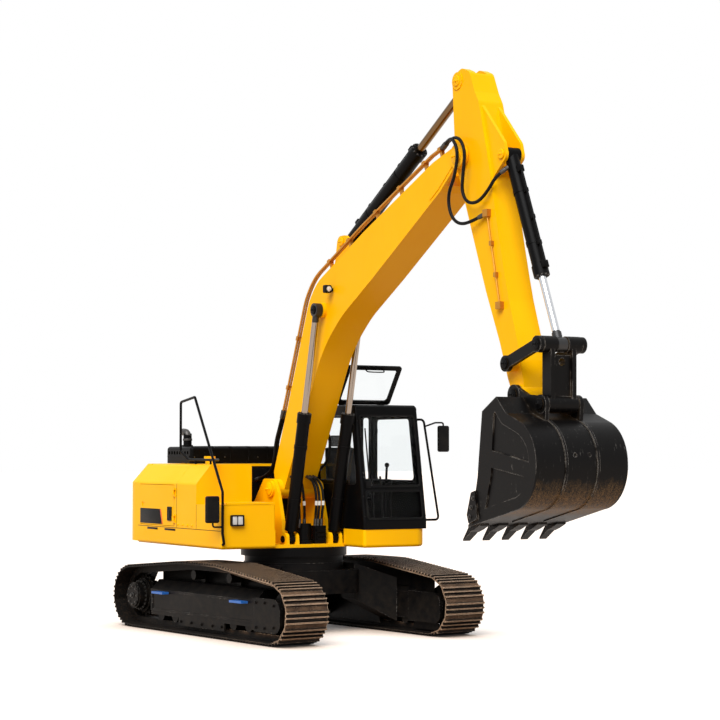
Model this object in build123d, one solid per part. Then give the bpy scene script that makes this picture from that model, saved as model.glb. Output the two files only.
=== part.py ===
"""Crawler excavator of the 22 tonne class, built piece by piece in one frame.

Millimetres. +X points ahead along the boom, +Y to the cab side, +Z up. The origin lies on the
ground under the slewing axis. The tracks stand turned by TRACK_TURN under the upper structure.
"""

import os
from math import acos, atan2, cos, degrees, hypot, pi, radians, sin

from build123d import *

os.makedirs("parts", exist_ok=True)

# Undercarriage
TRACK_TURN = 5.0
GAUGE = 2380.0
SHOE_WIDTH = 600.0
SHOES = 48
SPROCKET_TEETH = 17
LUG_TIP = 71.0
PLATE_TOP = 45.0
PLATE_LOW = 33.0
LINK_LOW = -45.0
LINK_HALF = 90.0
SPROCKET = (-1755.0, 410.0, 339.0)
IDLER = (1735.0, 388.0, 317.0)
CARRIERS = ((-420.0, 854.0), (450.0, 854.0))
ROLLER_X = (-1110.0, -753.0, -396.0, -39.0, 318.0, 675.0, 1032.0)
BEAM_X = (-1330.0, 1250.0)
BEAM_LOW, BEAM_SIDE, BEAM_RIDGE, BEAM_HALF = 190.0, 520.0, 640.0, 175.0

# Upper structure
HALF = 1362.0
DECK_LOW, DECK_TOP = 1100.0, 1140.0
SKIRT_TOP = 1330.0
SKIRT = 25.0
SIDE_TOP, ROOF_LINE, SLOPE = 1910.0, 2160.0, 212.0
REAR_X, FRONT_X, CAB_FRONT = -1920.0, 620.0, 1105.0
DECK_FRONT = 575.0
BULKHEAD_X = -690.0
TANK_FRONT, TANK_IN = -100.0, -567.0
CHEST_IN, CHEST_TOP = -600.0, 1650.0
TAIL_X, TAIL_REAR, TAIL_CORNER = -2225.0, -2700.0, 420.0
PANEL = 30.0

# Hood over the engine
HOOD_X, HOOD_Y, HOOD_TOP = (-1900.0, -1120.0), (-950.0, 1000.0), 2390.0
STACK_X, STACK_Y, STACK_TOP, STACK_RADIUS = -1546.0, -800.0, 2570.0, 57.0
DOOR_X, DOOR_Z = (-1840.0, -760.0), (1350.0, 1890.0)

# Cab
CAB_REAR, CAB_IN, CAB_FLOOR, CAB_TOP = -620.0, 415.0, 1400.0, 2860.0
CAB_NOSE, CAB_KNEE, CAB_BROW = 1110.0, 1430.0, 870.0
WALL = 45.0
ROOF_RISE = 65.0
HATCH_X, HATCH_LENGTH, HATCH_OPEN = 205.0, 600.0, 55.0

# Pins of the digging gear, as (x, z)
BOOM_FOOT = (20.0, 1840.0)
BOOM_CYL_BASE = (483.0, 1207.0)
BOOM_CYL_EYE = (1177.0, 4092.0)
ARM_PIVOT = (4265.0, 5635.0)
ARM_CYL_BASE = (1500.0, 4930.0)
ARM_CYL_EYE = (4171.0, 6506.0)
BUCKET_CYL_BASE = (4990.0, 5572.0)
ROCKER_PIVOT = (5286.0, 3260.0)
LINK_TOP = (5866.0, 3443.0)
BUCKET_PIVOT = (5371.0, 2923.0)
LINK_FOOT = (5862.0, 2814.0)

FOOT_PIN, BASE_PIN, PIVOT_PIN, CYL_PIN = 60.0, 34.0, 60.0, 39.0
ROCKER_PIN, BUCKET_PIN, LINK_PIN = 42.0, 45.0, 42.0
BOOM_HALF, ARM_HALF, PLATE = 220.0, 165.0, 20.0
BOOM_CYL_Y = 318.0
BUCKET_HALF, BUCKET_PLATE = 575.0, 25.0
PIPE, PIPE_STAND = 14.0, 85.0

# Running clearance of pins, rods and hinges
FIT = 0.1

nodes = {}


def face_of(rows, place):
    """A face from rows of two places and, where a corner is rounded, its radius."""
    points = [place(row[0], row[1]) for row in rows]
    radii = [row[2] if len(row) > 2 else 0 for row in rows]
    if any(radii):
        return make_face(FilletPolyline(*points, radius=radii, close=True))
    return make_face(Polyline(*points, close=True))


def box(x, y, z):
    """A block between the ends of three ranges."""
    size = [abs(b - a) for a, b in (x, y, z)]
    mid = [(a + b) / 2 for a, b in (x, y, z)]
    return Pos(*mid) * Box(*size)


def slab(rows, y0, y1):
    """A side outline of (x, z) rows carried across from y0 to y1."""
    return extrude(face_of(rows, lambda x, z: (x, y0, z)), amount=y1 - y0, dir=(0, 1, 0))


def length_slab(rows, x0, x1):
    """A cross outline of (y, z) rows carried along from x0 to x1."""
    return extrude(face_of(rows, lambda y, z: (x0, y, z)), amount=x1 - x0, dir=(1, 0, 0))


def plate(rows, z0, z1):
    """A plan outline of (x, y) rows carried up from z0 to z1."""
    return extrude(face_of(rows, lambda x, y: (x, y, z0)), amount=z1 - z0, dir=(0, 0, 1))


def round_box(x, y, z, radius):
    """A block with every edge rounded."""
    block = box(x, y, z)
    return fillet(block.edges(), radius)


def disc(pin, radius, y0, y1):
    """A round boss lying across the machine."""
    return Pos(pin[0], (y0 + y1) / 2, pin[1]) * Rot(90, 0, 0) * Cylinder(radius, abs(y1 - y0))


def bar(start, end, radius):
    """A round bar between two places."""
    a, b = Vector(*start), Vector(*end)
    line = Plane(origin=a, z_dir=b - a)
    return line * Cylinder(radius, (b - a).length, align=(Align.CENTER, Align.CENTER, Align.MIN))


def tube(points, radius, bend):
    """A bent round tube through the given corners."""
    path = FilletPolyline(*points, radius=bend)
    return sweep(Plane(origin=path @ 0, z_dir=path % 0) * Circle(radius), path=path)


def pair(make):
    """The same piece on both sides of the middle plane."""
    return Part() + [make(1), make(-1)]


def span(side, inner, outer):
    """A range of Y on one side, low end first."""
    return (inner, outer) if side > 0 else (-outer, -inner)


def around(pin, rows):
    """Rows given from a pin, moved to where the pin is."""
    return [(pin[0] + row[0], pin[1] + row[1], *row[2:]) for row in rows]


def outward(a, b):
    """The unit vector to the left of the way from a to b."""
    length = hypot(b[0] - a[0], b[1] - a[1])
    return -(b[1] - a[1]) / length, (b[0] - a[0]) / length


def shrink(rows, wall):
    """The outline moved inward by a wall's thickness, its rounded corners kept concentric."""
    rows = list(rows)
    ahead = rows[1:] + rows[:1]
    sense = 1 if sum(p[0] * q[1] - q[0] * p[1] for p, q in zip(rows, ahead)) > 0 else -1
    inner = []
    for before, here, after in zip(rows[-1:] + rows[:-1], rows, ahead):
        n0, n1 = outward(before, here), outward(here, after)
        share = wall * sense / (1 + n0[0] * n1[0] + n0[1] * n1[1])
        hollow = (n0[0] * n1[1] - n0[1] * n1[0]) * sense < 0
        radius = here[2] if len(here) > 2 else 0
        if radius:
            radius = radius + wall if hollow else max(radius - wall, 0)
        inner.append((here[0] + share * (n0[0] + n1[0]), here[1] + share * (n0[1] + n1[1]), radius))
    return inner


def along(start, end, distance):
    """The place at a distance on the way between two pins."""
    share = distance / hypot(end[0] - start[0], end[1] - start[1])
    return start[0] + (end[0] - start[0]) * share, start[1] + (end[1] - start[1]) * share


def hinge_set(axis, place, stations, ring, pin, leaf, lug):
    """Knuckles with leaves for the moving piece, pins with lugs for the fixed one.

    The axis is "Y" or "Z"; place, leaf and lug are given in the other two directions.
    """

    def turned(radius, a, b):
        if axis == "Y":
            return disc(place, radius, a, b)
        return Pos(place[0], place[1], (a + b) / 2) * Cylinder(radius, b - a)

    def block(first, second, a, b):
        return box(first, (a, b), second) if axis == "Y" else box(first, second, (a, b))

    moving, fixed, bores = [], [], []
    for s in stations:
        moving += [turned(ring, s - 30, s + 30), block(*leaf, s - 30, s + 30)]
        bores.append(turned(pin + FIT, s - 40, s + 40))
        fixed += [turned(pin, s - 54, s + 54), block(*lug, s - 54, s - 32), block(*lug, s + 32, s + 54)]
    return (Part() + moving) - bores, fixed


def keep(name, shape):
    nodes[name] = shape


def keep_low(name, shape):
    """Keeps a piece of the undercarriage, turned under the upper structure."""
    nodes[name] = Rot(0, 0, TRACK_TURN) * shape


# Track chain: the pitch line walks along the ground, round the sprocket, over the carriers
# and round the idler.


def circle_point(circle, angle):
    return circle[0] + circle[2] * cos(angle), circle[1] + circle[2] * sin(angle)


def pitch_line():
    """The pitch line as legs, each with its length and a rule giving a place on it."""

    def touch(circle, place, sense):
        dx, dz = place[0] - circle[0], place[1] - circle[1]
        return atan2(dz, dx) + sense * acos(circle[2] / hypot(dx, dz))

    rear_end = touch(SPROCKET, CARRIERS[0], 1)
    front_end = touch(IDLER, CARRIERS[1], -1)
    corners = [circle_point(SPROCKET, rear_end), *CARRIERS, circle_point(IDLER, front_end)]
    legs = []

    def straight(a, b):
        length = hypot(b[0] - a[0], b[1] - a[1])
        legs.append((length, lambda s: along(a, b, s)))

    def arc(circle, a0, a1):
        legs.append((circle[2] * (a0 - a1), lambda s: circle_point(circle, a0 - s / circle[2])))

    straight(circle_point(IDLER, -pi / 2), circle_point(SPROCKET, -pi / 2))
    arc(SPROCKET, 1.5 * pi, rear_end)
    for a, b in zip(corners, corners[1:]):
        straight(a, b)
    arc(IDLER, front_end, -pi / 2)
    return legs


def joints_of_chain():
    """Evenly spaced places of the link pins on the pitch line."""
    legs = pitch_line()
    pitch = sum(length for length, _ in legs) / SHOES
    places = []
    for number in range(SHOES):
        rest = number * pitch
        for length, rule in legs:
            if rest <= length:
                places.append(rule(rest))
                break
            rest -= length
    return places


def track(y_mid):
    """One loop: shoes with three lugs each, and the chain of links inside them."""
    pins = joints_of_chain()
    lugs = ((-62.0, 9.0), (0.0, 8.0), (62.0, 9.0))
    outer, bisectors = [], []
    for number, a in enumerate(pins):
        b = pins[(number + 1) % SHOES]
        before = pins[number - 1]
        nx, nz = outward(a, b)
        bisectors.append(outward(before, b))
        for offset, half in lugs:
            rise = ((-half - 7, PLATE_TOP), (-half, LUG_TIP), (half, LUG_TIP), (half + 7, PLATE_TOP))
            for u, v in rise:
                x = (a[0] + b[0]) / 2 + (offset + u) * nz + v * nx
                z = (a[1] + b[1]) / 2 - (offset + u) * nx + v * nz
                outer.append((x, z))

    def ring(height):
        return [(p[0] + height * n[0], p[1] + height * n[1]) for p, n in zip(pins, bisectors)]

    half = SHOE_WIDTH / 2
    shoes = slab(outer, y_mid - half, y_mid + half)
    shoes -= slab(ring(PLATE_LOW), y_mid - half - 5, y_mid + half + 5)
    links = slab(ring(PLATE_LOW + 5), y_mid - LINK_HALF, y_mid + LINK_HALF)
    links -= slab(ring(LINK_LOW), y_mid - LINK_HALF - 5, y_mid + LINK_HALF + 5)
    return shoes + links


def track_frame(side):
    """Roofed beam, roller guards, idler yoke with its cover, motor plate, carrier posts."""
    mid = side * GAUGE / 2
    out = lambda a, b: tuple(sorted((mid + side * a, mid + side * b)))
    h, wall = BEAM_HALF, SKIRT
    section = (
        (-h, BEAM_LOW), (-h, BEAM_SIDE), (-60, BEAM_RIDGE), (60, BEAM_RIDGE), (h, BEAM_SIDE), (h, BEAM_LOW),
        (h - wall, BEAM_LOW), (h - wall, BEAM_LOW + 100), (wall - h, BEAM_LOW + 100), (wall - h, BEAM_LOW),
    )
    beam = length_slab([(mid + side * y, z) for y, z in section], *BEAM_X)
    yoke = ((1150, 160), (1820, 160, 110), (1820, 540, 140), (1150, 540))
    cover = ((1262, 150), (1836, 150, 120), (1836, 556, 150), (1262, 556))
    pieces = [slab(yoke, *out(-190, -150)), slab(yoke, *out(150, 190)), slab(cover, *out(188, 222))]
    for edge in (1, -1):
        pieces.append(box((-620, 500), out(edge * 150, edge * h), (90, 195)))
    frame_rows = (
        (BEAM_X, (BEAM_SIDE - 26, BEAM_SIDE)),
        (BEAM_X, (BEAM_LOW + 52, BEAM_LOW + 74)),
        ((BEAM_X[0], BEAM_X[0] + 40), (BEAM_LOW + 52, BEAM_SIDE)),
        ((BEAM_X[1] - 30, BEAM_X[1]), (BEAM_LOW + 52, BEAM_SIDE)),
    )
    pieces += [box(x, out(h - 1, h + 11), z) for x, z in frame_rows]
    pieces.append(box((-1960, -1300), out(-150, -110), (225, 560)))
    for x, _ in CARRIERS:
        pieces.append(box((x - 45, x + 45), out(-125, -75), (BEAM_RIDGE - 90, 790)))
    return beam + pieces


for name, side in (("right", -1), ("left", 1)):
    keep_low(f"track_{name}", track(side * GAUGE / 2))
    keep_low(f"track_frame_{name}", track_frame(side))


def sprocket(side):
    mid = side * GAUGE / 2
    teeth = []
    root, tip = 246.0, 276.0
    for number in range(SPROCKET_TEETH):
        for share, radius in ((-0.34, root), (-0.14, tip), (0.14, tip), (0.34, root)):
            angle = 2 * pi * (number + share) / SPROCKET_TEETH
            teeth.append((SPROCKET[0] + radius * cos(angle), SPROCKET[1] + radius * sin(angle)))
    return slab(teeth, mid - 35, mid + 35) - disc(SPROCKET, 175, mid - 40, mid + 40)


def final_drive(side):
    """Stepped hub outside the sprocket and the motor inside it."""
    mid = side * GAUGE / 2
    at = lambda radius, a, b: disc(SPROCKET, radius, mid + side * a, mid + side * b)
    gear = at(172, -110, 205) + at(225, 35, 75) + at(195, 75, 120) + at(150, 200, 225)
    return Part() + [gear, at(150, -300, -150)]


def idler(side):
    mid = side * GAUGE / 2
    wheel = disc(IDLER, IDLER[2] + LINK_LOW - 16, mid - 80, mid + 80)
    return wheel + disc(IDLER, 70, mid - 150, mid + 150)


def rollers(side):
    mid = side * GAUGE / 2
    return [disc((x, 196), 80, mid - 150, mid + 150) for x in ROLLER_X]


def carriers(side):
    mid = side * GAUGE / 2
    return [disc((x, z + LINK_LOW - 69), 60, mid - 75, mid + 75) for x, z in CARRIERS]


def steps(side):
    """Two tread plates on brackets at each track frame."""
    mid = side * GAUGE / 2
    out = tuple(sorted((mid + side * (BEAM_HALF + 11), mid + side * 285)))
    treads = []
    for x in (-1000, 930):
        tread = box((x - 140, x + 140), out, (472, 500))
        treads.append(tread - [box((x + hole - 22, x + hole + 22), (out[0] + 25, out[1] - 25), (460, 510))
                               for hole in (-90, -30, 30, 90)])
    return treads


keep_low("final_drives", pair(lambda side: final_drive(side) + sprocket(side)))
keep_low("front_idlers", pair(idler))
keep_low("track_rollers", Part() + rollers(1) + rollers(-1) + carriers(1) + carriers(-1))
keep_low("foot_steps", Part() + steps(1) + steps(-1))


def leg(front, side):
    """One of the four spreading legs between the middle of the car body and a track frame."""
    root = Plane(origin=(front * 430, side * 560, 650), z_dir=(0, side, 0))
    end = Plane(origin=(front * 760, side * 1015, 410), z_dir=(0, side, 0))
    return loft([root * Rectangle(460, 290), end * Rectangle(560, 260)], ruled=True)


middle = [(x, y, 90) for x, y in ((-680, -600), (680, -600), (680, 600), (-680, 600))]
car_body = plate(middle, 500, 800) + Pos(0, 0, 850) * Cylinder(650, 100)
for front in (1, -1):
    for side in (1, -1):
        car_body += leg(front, side)
keep_low("car_body", car_body + Pos(0, 0, 940) * Cylinder(640, 88))
keep("slew_ring", Pos(0, 0, 1042.05) * Cylinder(690, 115.9))

# Upper frame: deck in a rounded rim, boom brackets and cylinder lugs
PLAN = (
    (REAR_X, -HALF), (FRONT_X, -HALF, 15), (FRONT_X, CHEST_IN), (DECK_FRONT, CHEST_IN),
    (DECK_FRONT, CAB_IN), (CAB_FRONT, CAB_IN, 40), (CAB_FRONT, HALF, 160), (REAR_X, HALF),
)
WELL = (
    (REAR_X - 10, SKIRT - HALF), (FRONT_X - SKIRT, SKIRT - HALF), (FRONT_X - SKIRT, CHEST_IN + 10),
    (DECK_FRONT + 10, CHEST_IN + 10), (DECK_FRONT + 10, CAB_IN + SKIRT), (CAB_FRONT - SKIRT, CAB_IN + SKIRT),
    (CAB_FRONT - SKIRT, HALF - SKIRT, 135), (REAR_X - 10, HALF - SKIRT),
)
BRACKET = (
    (-1150, DECK_TOP - 10), (-444, 1690), (-200, 1970, 60), (75, 1970, 90), (185, 1800, 120), (300, 1450),
    (330, DECK_TOP - 10),
)


def bracket(side):
    """Boom bracket plate with its boss, and the two lugs that hold a boom cylinder."""
    pieces = [slab(BRACKET, *span(side, 290, 340)), disc(BOOM_FOOT, 105, *span(side, 290, 375))]
    foot = DECK_TOP - 10 - BOOM_CYL_BASE[1]
    lug = around(BOOM_CYL_BASE, ((-110, foot), (-75, 78, 60), (75, 78, 60), (88, foot)))
    for inner in (226, 368):
        pieces.append(slab(lug, *span(side, inner, inner + 41)))
    pieces.append(disc(BOOM_CYL_BASE, BASE_PIN, *span(side, 226, 420)))
    return Part() + pieces


tray = plate(PLAN, DECK_LOW, SKIRT_TOP)
hem = [e for e in tray.faces().sort_by(Axis.Z)[0].edges() if abs(abs(e.center().Y) - HALF) < 60]
tray = fillet(hem, 40) - plate(WELL, DECK_TOP, SKIRT_TOP + 10)
foot_pin = disc(BOOM_FOOT, FOOT_PIN, -380, 380)
keep("upper_frame", tray + [bracket(1), bracket(-1), foot_pin])

motor = Pos(430, -90, DECK_TOP + 130) * Cylinder(95, 260) + Pos(430, -90, DECK_TOP + 20) * Cylinder(120, 40)
valve = box((350, 520), (30, 190), (DECK_TOP, DECK_TOP + 230))
for z in (60, 115, 170):
    valve += box((520, 545), (50, 170), (DECK_TOP + z - 18, DECK_TOP + z + 18))
keep("swing_drive", motor + valve)

# Body panels


def house_rows(low):
    """Cross outline shared by the engine housing and the tank's side."""
    return (
        (-HALF, low), (-HALF, SIDE_TOP, 60), (SLOPE - HALF, ROOF_LINE, 80),
        (HALF - SLOPE, ROOF_LINE, 80), (HALF, SIDE_TOP, 60), (HALF, low),
    )


house = length_slab(house_rows(SKIRT_TOP + 2), REAR_X, BULKHEAD_X)
house -= length_slab(shrink(house_rows(SKIRT_TOP - 2 * PANEL), PANEL), REAR_X - 5, BULKHEAD_X - PANEL)
house += box((BULKHEAD_X - PANEL, BULKHEAD_X), (PANEL - HALF, HALF - PANEL), (DECK_TOP, SKIRT_TOP + 5))
hole = [(edges[0] + 60, edges[1] - 60) for edges in (HOOD_X, HOOD_Y)]
house -= box(*hole, (ROOF_LINE - 60, ROOF_LINE + 40))
for side in (1, -1):
    house -= box((BULKHEAD_X - 60, BULKHEAD_X + 10), span(side, 285, 345), (DECK_TOP - 10, 1500))
    house -= box(DOOR_X, span(side, HALF - 60, HALF + 10), DOOR_Z)


def side_door(side):
    """A flush door leaf with a recessed latch plate."""
    gap = 6
    x = (DOOR_X[0] + gap, DOOR_X[1] - gap)
    leaf = box(x, span(side, HALF - PANEL + 4, HALF + 2), (DOOR_Z[0] + gap, DOOR_Z[1] - gap))
    latch = (DOOR_X[0] + 60, DOOR_X[0] + 150)
    return leaf - box(latch, span(side, HALF - 10, HALF + 10), (1590, 1650))


def door_hinges(side):
    leaf, lug = span(side, HALF + 2, HALF + 6), span(side, HALF, HALF + 22)
    place = (DOOR_X[1] + 2, side * (HALF + 14))
    return hinge_set(
        "Z", place, (1450, 1790), 11, 6, ((DOOR_X[1] - 80, place[0]), leaf), ((DOOR_X[1] - 4, DOOR_X[1] + 45), lug)
    )


moving, fixed = door_hinges(-1)
house += fixed
keep("pump_door", side_door(-1) + moving)
moving, fixed = door_hinges(1)
house += fixed
louvres = [
    slab(((x, 1450), (x + 60, 1450), (x + 60, 1790, 25), (x, 1790, 25)), HALF - 5, HALF + 14)
    for x in range(-1600, -860, 140)
]
keep("radiator_door", side_door(1) + louvres + moving)

# Hood: ribbed over its top and front, slotted at its sides, with the exhaust stack on it
hood = box(HOOD_X, HOOD_Y, (ROOF_LINE + 5, HOOD_TOP))
hood = fillet(hood.edges() - hood.faces().sort_by(Axis.Z)[0].edges(), 45)
RIB = (
    (HOOD_X[0] + 60, HOOD_TOP - 60), (HOOD_X[0] + 60, HOOD_TOP + 9, 30), (HOOD_X[1] + 9, HOOD_TOP + 9, 50),
    (HOOD_X[1] + 9, ROOF_LINE + 40), (HOOD_X[1] - 30, ROOF_LINE + 40), (HOOD_X[1] - 30, HOOD_TOP - 60),
)
hood += [slab(RIB, y, y + 36) for y in range(-650, 900, 280)]
for face in HOOD_Y:
    hood += box((HOOD_X[0] + 50, HOOD_X[1] - 50), (face - 8, face + 8), (HOOD_TOP - 142, HOOD_TOP - 124))
hood -= box(
    (HOOD_X[0] + 25, HOOD_X[1] - 25), (HOOD_Y[0] + 25, HOOD_Y[1] - 25), (ROOF_LINE, HOOD_TOP - 25)
)
for number in range(8):
    x = HOOD_X[0] + 75 + 82 * number
    for face in HOOD_Y:
        slot = slab(
            ((x, HOOD_TOP - 105), (x + 50, HOOD_TOP - 105), (x + 50, HOOD_TOP - 60, 20), (x, HOOD_TOP - 60, 20)),
            face - 20, face + 20,
        )
        hood -= slot
hinge_x, hinge_z = HOOD_X[0] - 11, ROOF_LINE + 19
leaf = ((hinge_x, hinge_x + 16), (hinge_z - 7, hinge_z + 7))
lug = ((hinge_x - 8, hinge_x + 6), (ROOF_LINE, hinge_z + 7))
moving, fixed = hinge_set("Y", (hinge_x, hinge_z), (-600, 650), 11, 6, leaf, lug)
keep("engine_housing", house + fixed)
keep("engine_hood", hood + moving)
keep("engine_block", box((-1830, -1150), (-800, 850), (DECK_TOP, 2080)))
stack = bar((STACK_X, STACK_Y, HOOD_TOP), (STACK_X, STACK_Y, STACK_TOP), STACK_RADIUS)
stack += bar((STACK_X, STACK_Y, HOOD_TOP), (STACK_X, STACK_Y, HOOD_TOP + 22), STACK_RADIUS + 18)
stack -= bar((STACK_X, STACK_Y, HOOD_TOP + 30), (STACK_X, STACK_Y, STACK_TOP + 5), STACK_RADIUS - 5)
stack -= Pos(STACK_X, STACK_Y, STACK_TOP) * Rot(0, 25, 0) * Pos(0, 0, 100) * Box(300, 300, 200)
keep("exhaust_pipe", stack)

# Counterweight: the housing's sides carried round the tail
tail = Polyline((REAR_X, HALF), (TAIL_X, HALF))
tail += ThreePointArc((TAIL_X, HALF), (TAIL_REAR, 0), (TAIL_X, -HALF))
tail += Polyline((TAIL_X, -HALF), (REAR_X, -HALF), (REAR_X, HALF))
weight = Pos(0, 0, DECK_TOP - 20) * extrude(make_face(tail), amount=ROOF_LINE - DECK_TOP + 20)
weight = fillet(weight.edges().filter_by(Axis.Z).group_by(Axis.X)[0], TAIL_CORNER)
crown = weight.faces().sort_by(Axis.Z)[-1]
brim = [e for e in crown.edges() if e.center().X < REAR_X - 1]
weight = chamfer(brim, SLOPE, ROOF_LINE - SIDE_TOP, reference=crown)
EYE_X, EYE_Y, EYE_BORE = -2320.0, 480.0, 27.0


def lifting_eye(side):
    """A welded plate with a bore for a shackle."""
    place = (EYE_X, ROOF_LINE + 45)
    rows = around(place, ((-70, -60), (-60, 55, 55), (60, 55, 55), (70, -60)))
    return slab(rows, *span(side, EYE_Y - 20, EYE_Y + 20)) - disc(place, EYE_BORE, *span(side, EYE_Y - 30, EYE_Y + 30))


keep("counterweight", weight + [lifting_eye(1), lifting_eye(-1)])

TANK = (
    (32 - HALF, DECK_TOP), (32 - HALF, SKIRT_TOP + 2), (-HALF, SKIRT_TOP + 2), (-HALF, SIDE_TOP, 60),
    (SLOPE - HALF, ROOF_LINE, 80), (TANK_IN, ROOF_LINE, 40), (TANK_IN, DECK_TOP),
)
tank = length_slab(TANK, BULKHEAD_X + 4, TANK_FRONT)
tank += Pos(-450, -1000, ROOF_LINE + 30) * Cylinder(58, 80) + Pos(-450, -1000, ROOF_LINE + 85) * Cylinder(74, 34)
keep("fuel_tank", tank)

# Tool box with its lid
LID_X = 130.0
CHEST = (
    (TANK_FRONT + 5, -HALF), (FRONT_X, -HALF, 45), (FRONT_X, CHEST_IN, 20), (TANK_FRONT + 5, CHEST_IN),
)
room_y = (62 - HALF, CHEST_IN - 20)
chest = plate(CHEST, SKIRT_TOP, CHEST_TOP)
chest -= box((LID_X - 5, FRONT_X - 20), room_y, (SKIRT_TOP + 22, CHEST_TOP + 50))
chest -= box((TANK_FRONT + 25, LID_X - 30), room_y, (SKIRT_TOP + 22, CHEST_TOP - 20))
hinge_x, hinge_z = LID_X - 14, CHEST_TOP + 18
leaf = ((hinge_x, hinge_x + 24), (hinge_z - 4, hinge_z + 4))
lug = ((hinge_x - 9, hinge_x + 7), (CHEST_TOP, hinge_z + 8))
moving, fixed = hinge_set("Y", (hinge_x, hinge_z), (162 - HALF, CHEST_IN - 150), 8, 4.5, leaf, lug)
keep("tool_box", chest + fixed)
lamp_y, lamp_z = (122 - HALF, 302 - HALF), (1390, 1530)
lamp = box((FRONT_X, FRONT_X + 30), lamp_y, lamp_z)
keep("tool_box_lamp", fillet(lamp.edges().filter_by(Axis.X), 22))
lid = box((LID_X, FRONT_X), (62 - HALF, CHEST_IN - 2), (CHEST_TOP + 5, CHEST_TOP + 30))
keep("tool_box_lid", lid + moving)

# Cab
SHELL = (
    (CAB_REAR, CAB_FLOOR), (CAB_NOSE, CAB_FLOOR), (CAB_NOSE, CAB_KNEE), (CAB_BROW, CAB_TOP), (CAB_REAR, CAB_TOP),
)
LEAN = (CAB_NOSE - CAB_BROW) / (CAB_TOP - CAB_KNEE)


def front_x(z):
    return CAB_NOSE - LEAN * max(z - CAB_KNEE, 0)


def pane(z0, z1, back, thick):
    """Side outline of a front pane set back from the cab's face."""
    a, b = front_x(z0) - back, front_x(z1) - back
    return (a - thick, z0), (a, z0), (b, z1), (b - thick, z1)


def side_window(x0, low, high, pillar):
    """Side outline of a window that follows the leaning front pillar."""
    return (x0, low, 50), (front_x(low) - pillar, low, 50), (front_x(high) - pillar, high, 50), (x0, high, 50)


def window(y, z):
    """Cross outline of a window with rounded corners."""
    return [(a, b, 45) for a, b in ((y[0], z[0]), (y[1], z[0]), (y[1], z[1]), (y[0], z[1]))]


RIGHT_PANE = side_window(-100, 1900, 2790, 115)
QUARTER = ((-520, 1950, 40), (-310, 1950, 40), (-310, 2780, 40), (-520, 2780, 40))
SILL, HEAD = 1430.0, 2820.0
DOORWAY = ((-230, SILL), (1010, SILL), (front_x(HEAD) - 100, HEAD), (-230, HEAD))
DOOR_PANE = side_window(-150, 1950, 2750, 190)
FRONT_Y, REAR_Y = (CAB_IN + 48, HALF - 60), (CAB_IN + 80, HALF - 82)
UPPER_Z, LOWER_Z, REAR_Z = (1870, 2795), (1455, 1828), (1950, 2780)

shell = slab(SHELL, CAB_IN, HALF)
pillars = [e for e in shell.edges() if e.center().X > CAB_BROW and abs((e % 0.5).Y) < 0.1]
shell = fillet(pillars, 40)
hollow = (
    (CAB_REAR + WALL, CAB_FLOOR - 10), (CAB_NOSE - WALL, CAB_FLOOR - 10), (CAB_NOSE - WALL, CAB_KNEE),
    (CAB_BROW - WALL, CAB_TOP), (CAB_BROW - WALL, CAB_TOP + 5), (CAB_REAR + WALL, CAB_TOP + 5),
)
shell -= slab(hollow, CAB_IN + WALL, HALF - WALL)
screens = [(window(FRONT_Y, UPPER_Z), 700), (window(FRONT_Y, LOWER_Z), 900)]
for rows, start in screens:
    shell -= length_slab(rows, start, 1200)
shell -= length_slab(window(REAR_Y, REAR_Z), CAB_REAR - 50, CAB_REAR + 100)
shell -= slab(RIGHT_PANE, CAB_IN - 10, CAB_IN + 100)
shell -= slab(QUARTER, HALF - 100, HALF + 10)
shell -= slab(DOORWAY, HALF - 100, HALF + 10)
hinge_x = DOORWAY[0][0] + 4
leaf = ((hinge_x, hinge_x + 76), (HALF + 3, HALF + 7))
lug = ((hinge_x - 49, hinge_x + 2), (HALF, HALF + 24))
moving, fixed = hinge_set("Z", (hinge_x, HALF + 16), (1600, 2600), 11, 6, leaf, lug)
base = box((CAB_REAR, CAB_NOSE), (CAB_IN, HALF), (SKIRT_TOP, CAB_FLOOR))
base = fillet(base.edges().filter_by(Axis.Z).group_by(Axis.X)[-1], 40)
keep("cab_frame", shell + base + fixed)
glass = [
    slab(pane(*UPPER_Z, 20, 6), *FRONT_Y) & length_slab(screens[0][0], 700, 1200),
    slab(pane(*LOWER_Z, 20, 6), *FRONT_Y) & length_slab(screens[1][0], 900, 1200),
    length_slab(window(REAR_Y, REAR_Z), CAB_REAR + 20, CAB_REAR + 26),
    slab(RIGHT_PANE, CAB_IN + 20, CAB_IN + 26),
    slab(QUARTER, HALF - 26, HALF - 20),
]
keep("cab_glass", Part() + glass)
door = slab(shrink(DOORWAY, 8), HALF - 35, HALF + 3) - slab(DOOR_PANE, HALF - 50, HALF + 20)
keep("cab_door", door + moving)
keep("door_glass", slab(DOOR_PANE, HALF - 20, HALF - 14))

roof_z = CAB_TOP + ROOF_RISE
ROOF = (
    (CAB_REAR, CAB_TOP), (CAB_BROW, CAB_TOP), (CAB_BROW - 15, CAB_TOP + 40, 30), (CAB_BROW - 55, roof_z, 40),
    (CAB_REAR + 40, roof_z, 40), (CAB_REAR, roof_z - 30, 20),
)
HATCH_Y = (CAB_IN + 85, HALF - 32)


def hatch_plan(rim, radius):
    """Plan of the hatch, drawn in by a rim's width."""
    x0, x1 = HATCH_X + rim, HATCH_X + HATCH_LENGTH - rim
    y0, y1 = HATCH_Y[0] + rim, HATCH_Y[1] - rim
    return [(x, y, radius) for x, y in ((x0, y0), (x1, y0), (x1, y1), (x0, y1))]


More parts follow.
